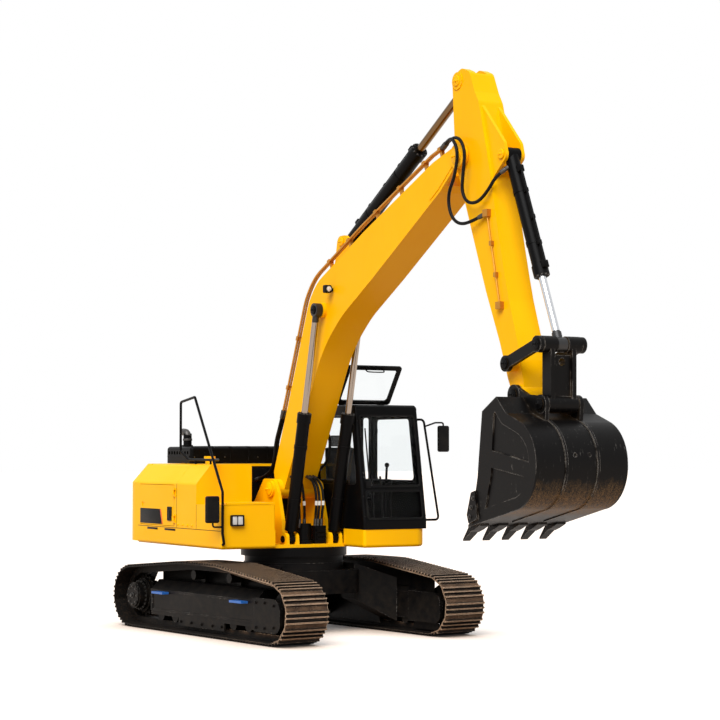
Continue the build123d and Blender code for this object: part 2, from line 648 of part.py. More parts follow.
roof = slab(ROOF, CAB_IN, HALF)
roof = fillet(roof.edges().filter_by(Axis.X).group_by(Axis.Z)[-1], 30)
roof -= plate(hatch_plan(40, 30), CAB_TOP - 60, roof_z + 40)
hinge_x, hinge_z = HATCH_X - 10, roof_z + 17
hinge = Axis((hinge_x, 0, hinge_z), (0, 1, 0))
leaf = ((hinge_x, hinge_x + 20), (hinge_z - 4, hinge_z + 4))
lug = ((hinge_x - 9, hinge_x + 6), (roof_z, hinge_z + 6))
moving, fixed = hinge_set("Y", (hinge_x, hinge_z), (HATCH_Y[0] + 120, HATCH_Y[1] - 120), 9, 5, leaf, lug)
keep("cab_roof", roof + fixed)
lid = plate(hatch_plan(0, 40), roof_z + 5, roof_z + 30) - plate(hatch_plan(60, 40), roof_z, roof_z + 40)
keep("roof_hatch", (lid + moving).rotate(hinge, -HATCH_OPEN))
keep("hatch_glass", plate(hatch_plan(60, 40), roof_z + 15, roof_z + 21).rotate(hinge, -HATCH_OPEN))

SEAT_Y, SEAT_HALF = 865.0, 225.0
CUSHION = ((-250, 1690, 40), (-250, 1830, 50), (240, 1845, 70), (240, 1700, 50))
BACKREST = ((-330, 1790, 50), (-190, 1790, 40), (-240, 2380, 70), (-370, 2380, 50))
seat = box((-200, 160), (SEAT_Y - 150, SEAT_Y + 150), (CAB_FLOOR, 1700))
for rows in (CUSHION, BACKREST):
    seat += slab(rows, SEAT_Y - SEAT_HALF, SEAT_Y + SEAT_HALF)
seat += round_box((-365, -265), (SEAT_Y - 130, SEAT_Y + 130), (2370, 2540), 40)
keep("cab_seat", seat)
consoles = [round_box((-150, 420), (y - 60, y + 60), (CAB_FLOOR, 1960), 25) for y in (540, 1190)]
levers = [bar((360, y, 1930), (380, y, 2130), 16) + Pos(382, y, 2145) * Sphere(32) for y in (540, 1190)]
pedals = [
    box((670, 730), (y - 30, y + 30), (CAB_FLOOR, 1430)) + bar((700, y, 1420), (640, y, 2000), 14)
    for y in (800, 930)
]
keep("cab_controls", Part() + consoles + levers + pedals)

# Rails and mirrors
RAIL = 17.0
RUN_Z = ROOF_LINE + 55
GRAB = (
    (FRONT_X, -1340, 1165), (662, -1340, 1165), (662, -1365, 1300), (662, -1365, 1820), (-467, -1210, 3030),
    (-934, -1190, 2974), (-934, -1190, 2330), (-820, -1130, RUN_Z), (60, -1130, RUN_Z), (285, -1308, RUN_Z),
)
rail = tube(GRAB, RAIL, 38)
rail += [bar((x, -1130, ROOF_LINE), (x, -1130, RUN_Z), 14) for x in (-600, -160)]
mirror = round_box((630, 690), (-1600, -1412), (1435, 1770), 26)
mirror += tube(((662, -1358, 1385), (662, -1500, 1385), (660, -1500, 1450)), 11, 30)
right_mirror = mirror - rail
loop = tube(((847, HALF, 2740), (847, 1470, 2740), (1062, 1565, 1440), (1062, HALF, 1440)), 15, 50)
mirror = round_box((960, 1020), (1600, 1768), (2318, 2661), 26)
mirror += tube(((862, 1476.5, 2650), (930, 1600, 2700), (990, 1684, 2700), (990, 1684, 2640)), 11, 25)
keep("handrails", Part() + [rail, loop])
keep("mirrors", Part() + [right_mirror, mirror - loop])

# Boom: welded box of plates, forked round the arm's end
BOOM = (
    (-95, 1890, 60), (-140, 2060, 80), (274, 2987), (798, 4220, 700), (998, 4447, 700), (2178, 4986), (3733, 5627),
    (4201, 5760, 60), (4320, 5740, 70), (4370, 5620, 60), (4168, 5500), (3879, 5273), (2383, 4405),
    (1635, 3993, 1800), (1159, 3611, 1800), (803, 2974), (315, 2130), (120, 1790, 60),
)
FORK, FORK_INNER = 420.0, 178.0
TAIL_ROOM = ((-705, -160), (-705, 165), (0, 365), (0, -75), (-365, -160))
EAR = ((-665, -90), (-64, 105), (55, 90), (90, -15), (-105, -120), (-385, -340), (-605, -470))
BASE_LUG = ((-190, -360), (-100, 75, 95), (100, 75, 95), (300, -130), (200, -175))


def welded(rows, half, wall):
    """A closed box of plates from a side outline."""
    return slab(rows, -half, half) - slab(shrink(rows, wall), wall - half, half - wall)


def boom_side(side):
    """What one side of the boom carries: fork plate, bosses and a lug of the arm cylinder."""
    ear = around(ARM_PIVOT, EAR)
    return Part() + [
        slab(ear, *span(side, FORK_INNER, BOOM_HALF - 2)),
        slab(shrink(ear, 22), *span(side, BOOM_HALF - 2, BOOM_HALF + 8)),
        disc(ARM_PIVOT, 140, *span(side, FORK_INNER, BOOM_HALF + 25)),
        disc(BOOM_CYL_EYE, 95, *span(side, BOOM_HALF - 10, 268)),
        slab(around(ARM_CYL_BASE, BASE_LUG), *span(side, 102, 142)),
    ]


tail_room = slab(around(ARM_PIVOT, TAIL_ROOM), -FORK_INNER, FORK_INNER)
web = BOOM_HALF - 5
cross = disc(ARM_PIVOT, FORK + 20, -web, web) & slab(BOOM, -web, web)
x0, z0 = around(ARM_PIVOT, TAIL_ROOM[:1])[0]
boom = welded(BOOM, BOOM_HALF, PLATE) + cross
boom += box((x0 - 20, x0 + 340), (-web, web), (z0 - 20, z0)) + box((x0 - 20, x0), (-web, web), (z0 - 20, z0 + 70))
boom -= [disc(ARM_PIVOT, FORK, -FORK_INNER, FORK_INNER), tail_room]
boom += [disc(BOOM_FOOT, 125, -284, 284), boom_side(1), boom_side(-1)]
boom += [disc(ARM_PIVOT, PIVOT_PIN, -250, 250), disc(ARM_CYL_BASE, CYL_PIN, -150, 150)]
keep("boom", boom - disc(BOOM_FOOT, FOOT_PIN + FIT, -300, 300))

# Oil pipes above the boom, in clamps on posts, given by stretch of the run and share of it
CLAMPS = ((1, 0.1), (1, 0.6), (3, 0.32), (3, 0.72), (4, 0.2), (4, 0.55), (4, 0.9), (5, 0.75))
PIPES_Y = (-224.0, -190.0)
POST_Y = 23.0 - BOOM_HALF


def part_way(a, b, share):
    """The place at a share of the way between two rows."""
    return tuple(p + (q - p) * share for p, q in zip(a[:2], b[:2]))


lifted = shrink(BOOM, -PIPE_STAND)
run = [part_way(lifted[1], lifted[2], 0.8), *[row[:2] for row in lifted[2:7]], part_way(lifted[6], lifted[7], 0.5)]
bends = [row[2] if row[2] else 40 for row in lifted[2:7]]
pipes = []
for y in PIPES_Y:
    path = FilletPolyline(*[(x, y, z) for x, z in run], radius=bends)
    pipes.append(sweep(Plane(origin=path @ 0, z_dir=path % 0) * Circle(PIPE), path=path))
for stretch, share in CLAMPS:
    x, z = part_way(run[stretch], run[stretch + 1], share)
    rise = outward(run[stretch], run[stretch + 1])
    seat = Plane(origin=(x, 0, z), x_dir=(rise[1], 0, -rise[0]), z_dir=(rise[0], 0, rise[1]))
    pipes.append(seat * Pos(0, sum(PIPES_Y) / 2, 0) * Box(55, 68, 44))
    pipes.append(seat * Pos(0, POST_Y, -PIPE_STAND / 2) * Box(40, 40, PIPE_STAND))
keep("boom_pipes", Part() + pipes)
lamp = round_box((1370, 1450), (-345, -250), (4290, 4390), 18)
keep("boom_lamp", lamp + box((1392, 1428), (-255, -BOOM_HALF), (4310, 4350)))

# Arm
ARM = (
    (4060, 6560, 110), (4095, 6034), (4126, 5594, 400), (4539, 4556), (4733, 4080), (5000, 3500), (5149, 3108),
    (5262, 2880, 60), (5478, 2880, 80), (5440, 3060), (5390, 3300), (5296, 3600), (5170, 3960), (5100, 4210),
    (5020, 4520), (4765, 5590, 500), (4594, 6210, 120), (4517, 6334), (4410, 6576, 110), (4255, 6641, 100),
)
SLOT_HALF = 75.0
SLOT = (
    (-271, -166), (109, -166), (169, -86), (204, -6), (229, 54), (299, 134), (299, 394), (-271, 394),
)
GUSSET = ((-450, 668), (45, 128, 80), (92, -40, 80), (-20, -125), (-190, -260), (-260, -90))


def arm_side(side):
    return Part() + [
        disc(ARM_CYL_EYE, 100, *span(side, SLOT_HALF + 3, ARM_HALF + 10)),
        slab(around(BUCKET_CYL_BASE, GUSSET), *span(side, 88, 128)),
        disc(ARM_PIVOT, 120, *span(side, ARM_HALF - 10, ARM_HALF + 10)),
        disc(ROCKER_PIVOT, 85, *span(side, ARM_HALF - 10, 245)),
        disc(ROCKER_PIVOT, ROCKER_PIN, *span(side, 240, 308)),
    ]


slot = around(ARM_CYL_EYE, SLOT)
liner = slab(shrink(slot, -PLATE), -SLOT_HALF - 8, SLOT_HALF + 8) & slab(shrink(ARM, PLATE / 2), -120, 120)
arm = welded(ARM, ARM_HALF, PLATE) + liner - slab(slot, -SLOT_HALF, SLOT_HALF)
arm += disc(BUCKET_PIVOT, 115, -190, 190) + disc(ARM_PIVOT, 150, -ARM_HALF, ARM_HALF)
arm += [arm_side(1), arm_side(-1), disc(BUCKET_CYL_BASE, CYL_PIN, -135, 135)]
keep("arm", arm - [disc(ARM_PIVOT, PIVOT_PIN + FIT, -200, 200), disc(BUCKET_PIVOT, BUCKET_PIN + FIT, -200, 200)])

oil_y = -ARM_HALF - 25
ends = ((4790, oil_y, 4940), (5035, oil_y, 3905))
oil = [bar(*ends, 9)]
for x, _, z in ends:
    oil.append(box((x - 45, x + 45), (oil_y - 30, -ARM_HALF), (z - 40, z + 40)))
for share in (0.33, 0.67):
    x, z = (a + (b - a) * share for a, b in ((ends[0][0], ends[1][0]), (ends[0][2], ends[1][2])))
    oil.append(box((x - 22, x + 22), (oil_y - 16, -ARM_HALF), (z - 26, z + 26)))
keep("arm_pipe", Part() + oil)

# Bucket linkage


def rocker(side):
    """A flat bar with round ends beside the arm."""
    ends = [disc(pin, 88, *span(side, 250, 300)) for pin in (ROCKER_PIVOT, LINK_TOP)]
    nx, nz = outward(ROCKER_PIVOT, LINK_TOP)
    flank = [(pin[0] + s * 62 * nx, pin[1] + s * 62 * nz) for pin, s in
             ((ROCKER_PIVOT, 1), (LINK_TOP, 1), (LINK_TOP, -1), (ROCKER_PIVOT, -1))]
    return slab(flank, *span(side, 250, 300)) + ends - disc(ROCKER_PIVOT, ROCKER_PIN + FIT, *span(side, 240, 310))


keep("rockers", pair(rocker))


def link_rows(width, drop):
    """Outline between the link's two pins, its top drawn down by a drop."""
    foot, top = LINK_FOOT, (LINK_TOP[0], LINK_TOP[1] - drop)
    return (foot[0] - width, foot[1]), (foot[0] + width, foot[1]), (top[0] + width, top[1]), (top[0] - width, top[1])


HOLE_DROP, HOLE = 185.0, 42.0
link = disc(LINK_FOOT, 95, -190, 190) + slab(link_rows(45, 112), -160, 160)
for side in (1, -1):
    link += slab(link_rows(78, 0), *span(side, 112, 165))
    link += disc(LINK_TOP, 90, *span(side, 70, 245))
eye = (LINK_TOP[0], 0, LINK_TOP[1] - HOLE_DROP)
link -= bar((eye[0] - 120, 0, eye[2]), (eye[0] + 120, 0, eye[2]), HOLE)
keep("bucket_link", link - disc(LINK_FOOT, LINK_PIN + FIT, -200, 200))

# Bucket
LIP, HEEL, CROWN = (5055, 1515), (5850, 1700), (5980, 2625)
SHOULDER, HORN, MOUTH, CHEEK = (5720, 2720), (5545, 2895), (5280, 2745), (5190, 2040)
BACK = ((6278, 1767, 470), (6251, 2499, 470))
BOWL = (MOUTH, CHEEK, LIP, HEEL, *BACK, CROWN, SHOULDER, HORN)
OPENING = ((5520, 2860), (5250, 2900), (4700, 2100), (4900, 1560), (5110, 1553), (5240, 2040), (5330, 2700))
EARS = (
    (5290, 2800), (5290, 2960), (5420, 3010, 60), (5620, 2920), (5800, 2905), (5930, 2890, 60), (5960, 2800),
    (5940, 2610), (5720, 2700), (5545, 2880),
)
BAND = (MOUTH, CHEEK, LIP, (5290, 1570), (5440, 2060, 150), (5500, 2760))
CUTTER = ((5050, 1545, 15), (5015, 1640, 25), (5095, 1880, 25), (5170, 1900), (5215, 1600))
STIFFENER = ((5440, 2148), (6150, 2042), (6150, 2205), (5440, 2333))
BORDER, STRAP = 130.0, 15.0
ADAPTOR = ((4985, 1447, 12), (4968, 1528, 12), (5050, 1592, 25), (5195, 1624, 12), (5195, 1528, 12), (5085, 1480))
TOOTH = ((4847, 1352), (4847, 1372), (4975, 1532, 20), (5050, 1545), (5050, 1485), (4985, 1440))
room = BUCKET_HALF - BUCKET_PLATE


def bucket_side(side):
    """Side border with ribs and cutter, and one hanger plate."""
    cheek = slab(BOWL, *span(side, BUCKET_HALF - 1, BUCKET_HALF + 16))
    field = slab(shrink(BOWL, BORDER), *span(side, BUCKET_HALF, BUCKET_HALF + 30))
    border = [slab(rows, *span(side, BUCKET_HALF - 1, BUCKET_HALF + 16)) for rows in (BAND, STIFFENER)]
    return (cheek - field) + (Part() + border & slab(BOWL, *span(side, 500, 700))) + [
        slab(CUTTER, *span(side, BUCKET_HALF - 1, BUCKET_HALF + 40)),
        slab(EARS, *span(side, 200, 245)),
        disc(BUCKET_PIVOT, 110, *span(side, 200, 250)),
        disc(LINK_FOOT, 100, *span(side, 200, 250)),
    ]


bowl = welded(BOWL, BUCKET_HALF, BUCKET_PLATE) - slab(OPENING, -room, room)
straps = [
    slab(shrink(BOWL, -12), y - STRAP, y + STRAP) & box((5300, 6400), (y - 50, y + 50), (1500, 2640)) for y in (-205, 205)
]
hollow = slab(shrink(BOWL, 10), -room, room)
teeth = [
    slab(ADAPTOR, y - 60, y + 60) + slab(TOOTH, y - 46, y + 46) for y in (-505, -252, 0, 252, 505)
]
pins = [disc(BUCKET_PIVOT, BUCKET_PIN, -262, 262), disc(LINK_FOOT, LINK_PIN, -262, 262)]
bowl += [strap - hollow for strap in straps]
drains = [bar((6150, y, 2280), (6320, y, 2280), 22) for y in (-90, 90)]
keep("bucket", bowl + [bucket_side(1), bucket_side(-1)] + teeth + pins - drains)

# Cylinders: each barrel turns about its base eye, each rod slides along the barrel


def barrel(base, eye, length, y, outer, rod, eye_half, eye_radius, pin):
    """A bored tube with a gland that guides the rod, bands, a neck and a base eye."""
    at = lambda distance: (along(base, eye, distance)[0], y, along(base, eye, distance)[1])
    body = bar(at(115), at(length), outer) + bar(at(length - 120), at(length), outer + 10)
    for share in (0.3, 0.72):
        body += bar(at(share * length), at(share * length + 45), outer + 6)
    body += bar(at(30), at(120), eye_half - 4) + disc(base, eye_radius, y - eye_half, y + eye_half)
    body -= bar(at(180), at(length - 60), outer - 25)
    return body - [bar(at(length - 70), at(length + 50), rod + FIT), disc(base, pin + FIT, y - 150, y + 150)]


def piston_rod(base, eye, inside, y, radius, eye_half, eye_radius):
    """A rod with its eye and the collar that joins them."""
    at = lambda distance: (along(base, eye, distance)[0], y, along(base, eye, distance)[1])
    length = hypot(eye[0] - base[0], eye[1] - base[1])
    body = bar(at(inside), at(length), radius) + disc(eye, eye_radius, y - eye_half, y + eye_half)
    return body + bar(at(length - eye_radius - 60), at(length - eye_radius + 20), min(radius + 10, eye_half - 1.5))


boom_cyl = (BOOM_CYL_BASE, BOOM_CYL_EYE)
keep("boom_cylinder_barrels", pair(lambda s: barrel(*boom_cyl, 1640, s * BOOM_CYL_Y, 80, 41, 45, 62, BASE_PIN)))
keep("boom_cylinder_rods", pair(lambda s: piston_rod(*boom_cyl, 1360, s * BOOM_CYL_Y, 41, 44, 85)))
arm_cyl = (ARM_CYL_BASE, ARM_CYL_EYE)
keep("arm_cylinder_barrel", barrel(*arm_cyl, 1857, 0, 92, 50, 96, 80, CYL_PIN))
keep("arm_cylinder_rod", piston_rod(*arm_cyl, 1326, 0, 50, 65, 85))
bucket_cyl = (BUCKET_CYL_BASE, LINK_TOP)
keep("bucket_cylinder_barrel", barrel(*bucket_cyl, 1490, 0, 78, 42, 82, 80, CYL_PIN))
keep("bucket_cylinder_rod", piston_rod(*bucket_cyl, 798, 0, 42, 60, 80))

for name, shape in nodes.items():
    export_step(shape, f"parts/{name}.step")
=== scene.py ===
"""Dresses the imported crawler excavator: finishes, small fittings, hoses, studio and camera."""

import logging
import math
from dataclasses import dataclass
from enum import Enum
from functools import cached_property
from typing import Any, Optional, Sequence, Union

import bmesh
import bpy
from mathutils import Matrix, Vector


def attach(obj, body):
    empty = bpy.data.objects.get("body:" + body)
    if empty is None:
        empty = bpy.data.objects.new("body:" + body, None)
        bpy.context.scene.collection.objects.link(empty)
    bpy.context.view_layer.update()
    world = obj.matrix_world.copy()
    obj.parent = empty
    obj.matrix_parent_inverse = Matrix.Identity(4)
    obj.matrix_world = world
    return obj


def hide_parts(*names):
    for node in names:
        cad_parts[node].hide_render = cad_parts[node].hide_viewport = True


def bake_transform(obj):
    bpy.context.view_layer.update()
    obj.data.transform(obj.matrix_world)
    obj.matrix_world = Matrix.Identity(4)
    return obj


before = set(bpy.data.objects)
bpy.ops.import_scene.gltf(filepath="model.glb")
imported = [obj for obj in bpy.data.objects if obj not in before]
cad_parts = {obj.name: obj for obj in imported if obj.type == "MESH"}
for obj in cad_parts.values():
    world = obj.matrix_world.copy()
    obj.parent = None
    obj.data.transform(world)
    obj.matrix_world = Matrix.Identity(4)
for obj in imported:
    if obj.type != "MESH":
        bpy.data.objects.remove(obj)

LOG = logging.getLogger("excavator")
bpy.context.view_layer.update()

Point = tuple[float, float, float]
Pair = tuple[float, float]
Span = tuple[Point, Point]
Colour = tuple[float, float, float]

CREASE = 32.0
HOSE_CREASE = 40.0
SHARP = 0.7
TUBE_STEPS = 4
MERGE = 0.0001
SIDES = (1, -1)
WASHER_WIDTH = 1.45
WASHER_HEIGHT = 0.3
HEAD_HEIGHT = 0.95


class Body(Enum):
    """Moving bodies of the machine that carry fittings."""

    UNDERCARRIAGE = "undercarriage"
    UPPER = "upper"
    BOOM = "boom"
    ARM = "arm"
    BUCKET = "bucket"
    ROCKERS = "rockers"
    BOOM_BARRELS = "boom_cylinder_barrels"
    ARM_BARREL = "arm_cylinder_barrel"
    BUCKET_BARREL = "bucket_cylinder_barrel"
    BOOM_RODS = "boom_cylinder_rods"
    CAB_DOOR = "cab_door"
    ROOF_HATCH = "roof_hatch"
    ENGINE_HOOD = "engine_hood"
    PUMP_DOOR = "pump_door"
    RADIATOR_DOOR = "radiator_door"


def tint(red: int, green: int, blue: int) -> Colour:
    """Turns screen values of 0 to 255 into linear light.

    Args:
        red: Red on the screen.
        green: Green on the screen.
        blue: Blue on the screen.

    Returns:
        The colour in linear light.
    """
    def one(value: int) -> float:
        """One value in linear light."""
        share = value / 255
        return share / 12.92 if share <= 0.04045 else ((share + 0.055) / 1.055) ** 2.4

    return one(red), one(green), one(blue)


class Wire:
    """A socket of a material's tree, so that shader maths reads as ordinary arithmetic."""

    def __init__(self, graph: "Graph", socket: bpy.types.NodeSocket) -> None:
        """Holds one output socket of a graph."""
        self.graph = graph
        self.socket = socket

    def _math(self, operation: str, first: Any, second: Any) -> "Wire":
        """Adds one Math node."""
        return self.graph.add("ShaderNodeMath", {"operation": operation}, {0: first, 1: second})

    def __add__(self, other: Any) -> "Wire":
        """Sum."""
        return self._math("ADD", self, other)

    __radd__ = __add__

    def __sub__(self, other: Any) -> "Wire":
        """Difference."""
        return self._math("SUBTRACT", self, other)

    def __rsub__(self, other: Any) -> "Wire":
        """Difference from a number."""
        return self._math("SUBTRACT", other, self)

    def __mul__(self, other: Any) -> "Wire":
        """Product."""
        return self._math("MULTIPLY", self, other)

    __rmul__ = __mul__

    def top(self, other: Any) -> "Wire":
        """The larger of two values."""
        return self._math("MAXIMUM", self, other)

    def size(self) -> "Wire":
        """The value without its sign."""
        return self._math("ABSOLUTE", self, 0.0)

    def ramp(self, low: float, high: float, start: float = 0.0, end: float = 1.0) -> "Wire":
        """Stretches a span of the value to another span, held at its ends."""
        limits = {"From Min": low, "From Max": high, "To Min": start, "To Max": end}
        return self.graph.add("ShaderNodeMapRange", {"clamp": True}, {"Value": self, **limits})


class Graph:
    """The node tree of one material, or of the sky."""

    def __init__(self, name: str, home: Any = None) -> None:
        """Starts an empty tree.

        Args:
            name: The owner's name.
            home: Where the owner is made: among the materials, unless told otherwise.
        """
        self.owner = (bpy.data.materials if home is None else home).new(name)
        self.owner.use_nodes = True
        self.tree = self.owner.node_tree
        self.tree.nodes.clear()

    @cached_property
    def place(self) -> Wire:
        """The place on the piece, which is the place on the machine at rest."""
        return self.add("ShaderNodeTexCoord", {}, {}, "Object")

    @cached_property
    def facing(self) -> Wire:
        """The way that the surface faces."""
        return Wire(self, self.place.socket.node.outputs["Normal"])

    def add(
        self, kind: str, settings: dict[str, Any], sockets: dict[Any, Any], out: Union[str, int] = 0,
    ) -> Wire:
        """Adds any node.

        Args:
            kind: The node's type.
            settings: Its own settings, set first.
            sockets: Values or wires of its inputs, by name or number.
            out: The output that is wanted.

        Returns:
            A wire at that output.
        """
        node = self.tree.nodes.new(kind)
        for key, value in settings.items():
            setattr(node, key, value)
        for key, value in sockets.items():
            if isinstance(value, Wire):
                self.tree.links.new(value.socket, node.inputs[key])
            else:
                node.inputs[key].default_value = value
        return Wire(self, node.outputs[out])

    def noise(
        self, scale: float, detail: float = 4.0, rough: float = 0.55, stretch: Optional[Point] = None,
    ) -> Wire:
        """Cloudy noise over the piece.

        Args:
            scale: How many patches there are in a metre.
            detail: How many finer layers are added.
            rough: How strong the finer layers are.
            stretch: Scale along each axis, for streaks.

        Returns:
            A value around one half.
        """
        place = self.place
        if stretch:
            place = self.add("ShaderNodeMapping", {}, {"Vector": place, "Scale": stretch})
        values = {"Vector": place, "Scale": scale, "Detail": detail, "Roughness": rough}
        return self.add("ShaderNodeTexNoise", {}, values)

    def mix(self, share: Any, first: Any, second: Any) -> Wire:
        """Blends two colours."""
        full = [value if isinstance(value, Wire) else (*value, 1.0) for value in (first, second)]
        return self.add("ShaderNodeMix", {"data_type": "RGBA"}, {0: share, 6: full[0], 7: full[1]}, 2)

    def vector(self, operation: str, first: Any, second: Any, out: str = "Vector") -> Wire:
        """Adds one Vector Math node."""
        return self.add("ShaderNodeVectorMath", {"operation": operation}, {0: first, 1: second}, out)

    def along(self, axis: str) -> Wire:
        """The place along one axis of the machine in metres."""
        return self.add("ShaderNodeSeparateXYZ", {}, {0: self.place}, axis)

    def place_from(self, middle: Point) -> Wire:
        """The place in the machine's side view, seen from a given middle."""
        return self.vector("SUBTRACT", self.vector("MULTIPLY", self.place, (1.0, 0.0, 1.0)), middle)

    def reach(self, eye: Point) -> Wire:
        """Distance from an eye's axis, which lies across the machine."""
        off = self.place_from((eye[0], 0.0, eye[2]))
        return self.vector("LENGTH", off, (0.0, 0.0, 0.0), "Value")

    def edges(self, radius: float) -> Wire:
        """Finds outer and inner edges.

        Args:
            radius: How far from an edge it is still felt, in metres.

        Returns:
            Zero on flats, rising towards edges.
        """
        soft = self.add("ShaderNodeBevel", {"samples": 4}, {"Radius": radius})
        flat = self.add("ShaderNodeNewGeometry", {}, {}, "Normal")
        return 1.0 - self.vector("DOT_PRODUCT", soft, flat, "Value")

    def corners(self, reach: float) -> Wire:
        """Finds sheltered corners, where dirt gathers and where shade is painted on the tracks and the floor.
        """
        return 1.0 - self.add("ShaderNodeAmbientOcclusion", {"samples": 4}, {"Distance": reach}, "AO")

    def bump(self, height: Wire, strength: float, distance: float) -> Wire:
        """Turns a height into a bent normal."""
        return self.add("ShaderNodeBump", {}, {"Strength": strength, "Distance": distance, "Height": height})

    def surface(self, sockets: dict[str, Any]) -> bpy.types.Material:
        """Ends the tree in one principled surface."""
        self.add_output(self.add("ShaderNodeBsdfPrincipled", {}, sockets))
        return self.owner

    def add_output(self, shader: Wire, kind: str = "ShaderNodeOutputMaterial") -> None:
        """Ends the tree in a given shader."""
        self.tree.links.new(shader.socket, self.tree.nodes.new(kind).inputs["Surface"])


@dataclass(frozen=True)
class Paint:
    """Sprayed paint with faint orange peel, dust near the ground and rubbed edges."""

    name: str
    colour: Colour
    faded: Colour
    bare: Colour
    rough: float = 0.34
    coat: float = 0.2
    gloss: float = 0.4
    wear: float = 0.25
    dust: float = 0.2
    dust_colour: Colour = tint(150, 128, 98)
    dust_top: float = 1.1

    def material(self) -> bpy.types.Material:
        """Builds the paint's material.

        Returns:
            The material.
        """
        graph = Graph(self.name)
        patch = graph.noise(1.3, 5.0).ramp(0.35, 0.72)
        fine = graph.noise(38.0, 3.0, 0.6)
        streak = graph.noise(7.0, 4.0, 0.6, (3.0, 3.0, 0.25)).ramp(0.5, 0.8)
        colour = graph.mix(patch * 0.55 + streak * 0.25, self.colour, self.faded)
        grime = graph.corners(0.12).ramp(0.25, 0.95) * graph.noise(6.0).ramp(0.3, 0.7, 0.35, 1.0)
        low = graph.along("Z").ramp(self.dust_top, 0.0) * graph.noise(11.0, 6.0).ramp(0.35, 0.7)
        dirt = (grime * 0.5 + low * 0.8) * self.dust
        colour = graph.mix(dirt, colour, self.dust_colour)
        chip = graph.edges(0.012).ramp(0.06, 0.3) * fine.ramp(0.5, 0.62)
        rub = chip * graph.noise(3.0).ramp(0.45, 0.6) * self.wear
        colour = graph.mix(rub, colour, self.bare)
        rough = fine * 0.08 + patch * 0.07 + dirt * 0.4 + (self.rough - 0.06)
        peel = graph.bump(graph.noise(260.0, 2.0) * 0.4 + graph.noise(14.0, 2.0), 0.12, 0.0016)
        return graph.surface({
            "Base Color": colour, "Roughness": rough, "Normal": peel, "Specular IOR Level": self.gloss,
            "Coat Weight": self.coat, "Coat Roughness": 0.16, "Metallic": rub * 0.7,
        })


@dataclass(frozen=True)
class TrackSteel:
    """Track shoes: tan, rubbed lug tips above dark valleys; the valleys and the faces turned into the loop
    are darkened as painted shade, and the lug edges carry a painted highlight over rubbed steel.
    """

    name: str
    valley: Colour
    tip: Colour
    bright: Colour
    middle: float = 0.45
    rough: float = 0.62

    def material(self) -> bpy.types.Material:
        """Builds the shoes' material.

        Returns:
            The material.
        """
        graph = Graph(self.name)
        cloud = graph.noise(5.0, 6.0, 0.62)
        fine = graph.noise(60.0, 4.0, 0.65)
        out = graph.place_from((0.0, 0.0, self.middle))
        facing = graph.vector("DOT_PRODUCT", out, graph.facing, "Value")
        # Tan shows only on open faces turned out of the loop; the valleys and the faces turned into the loop
        # keep the near-black colour as painted shade.
        tip_wear_and_painted_shade = graph.corners(0.08).ramp(0.02, 0.15, 1.0, 0.0) * facing.ramp(0.02, 0.12)
        colour = graph.mix(tip_wear_and_painted_shade * cloud.ramp(0.34, 0.62, 0.3, 1.0), self.valley, self.tip)
        colour = graph.mix(fine.ramp(0.52, 0.7) * 0.45, colour, tuple(0.45 * value for value in self.tip))
        # Bright lug edges: partly rubbed bare steel, partly a painted highlight.
        rub_and_glint = graph.edges(0.016).ramp(0.02, 0.16) * fine.ramp(0.34, 0.52) * tip_wear_and_painted_shade
        colour = graph.mix(rub_and_glint, colour, self.bright)
        dents = graph.bump(cloud * 0.4 + fine * 0.6, 0.4, 0.005)
        return graph.surface({
            "Base Color": colour, "Roughness": fine * 0.2 - rub_and_glint * 0.25 + (self.rough - 0.1),
            "Metallic": rub_and_glint * 0.4, "Specular IOR Level": 0.15, "Normal": dents,
        })


@dataclass(frozen=True)
class DigSteel:
    """Black digging gear: bright edges and streaks, partly scuffed steel and partly painted highlight, and a
    brown, gritty band worn round its heel.
    """

    name: str
    colour: Colour
    rust: Colour
    bright: Colour
    band: Pair = (1.5, 2.02)
    band_x: float = 5.5
    half: float = 0.573
    rough: float = 0.42

    def material(self) -> bpy.types.Material:
        """Builds the steel's material.

        Returns:
            The material.
        """
        graph = Graph(self.name)
        cloud = graph.noise(4.0, 6.0, 0.62)
        fine = graph.noise(95.0, 4.0, 0.7)
        streak = graph.noise(22.0, 4.0, 0.65, (1.0, 3.0, 0.35))
        low, high = self.band
        height = graph.along("Z") + cloud * 0.25
        heel = height.ramp(high + 0.13, high - 0.12) * height.ramp(low, low + 0.3)
        heel = heel * graph.along("X").ramp(self.band_x, self.band_x + 0.25)
        heel = heel * graph.along("Y").size().ramp(self.half, self.half - 0.006)
        grit = heel * fine.ramp(0.44, 0.56) * streak.ramp(0.36, 0.5)
        soil = graph.corners(0.1).ramp(0.35, 0.9) * cloud.ramp(0.4, 0.65) * 0.4
        colour = graph.mix((grit * 0.85).top(soil), self.colour, self.rust)
        # Bright edges and streaks: partly scuffed bare steel, partly painted highlight.
        edge = graph.edges(0.016).ramp(0.03, 0.2) * fine.ramp(0.4, 0.54) * cloud.ramp(0.44, 0.56)
        scrape_and_sheen = streak.ramp(0.63, 0.74) * 0.28
        rub_and_glint = (edge * 0.42).top(scrape_and_sheen * cloud.ramp(0.45, 0.6))
        colour = graph.mix(rub_and_glint, colour, self.bright)
        rough = fine * 0.14 + grit * 0.3 - rub_and_glint * 0.16 + (self.rough - 0.07)
        dents = graph.bump(cloud * 0.5 + fine * 0.25 + streak * 0.2, 0.25, 0.004)
        return graph.surface({
            "Base Color": colour, "Roughness": rough, "Metallic": rub_and_glint * 0.6, "Specular IOR Level": 0.1,
            "Normal": dents,
        })


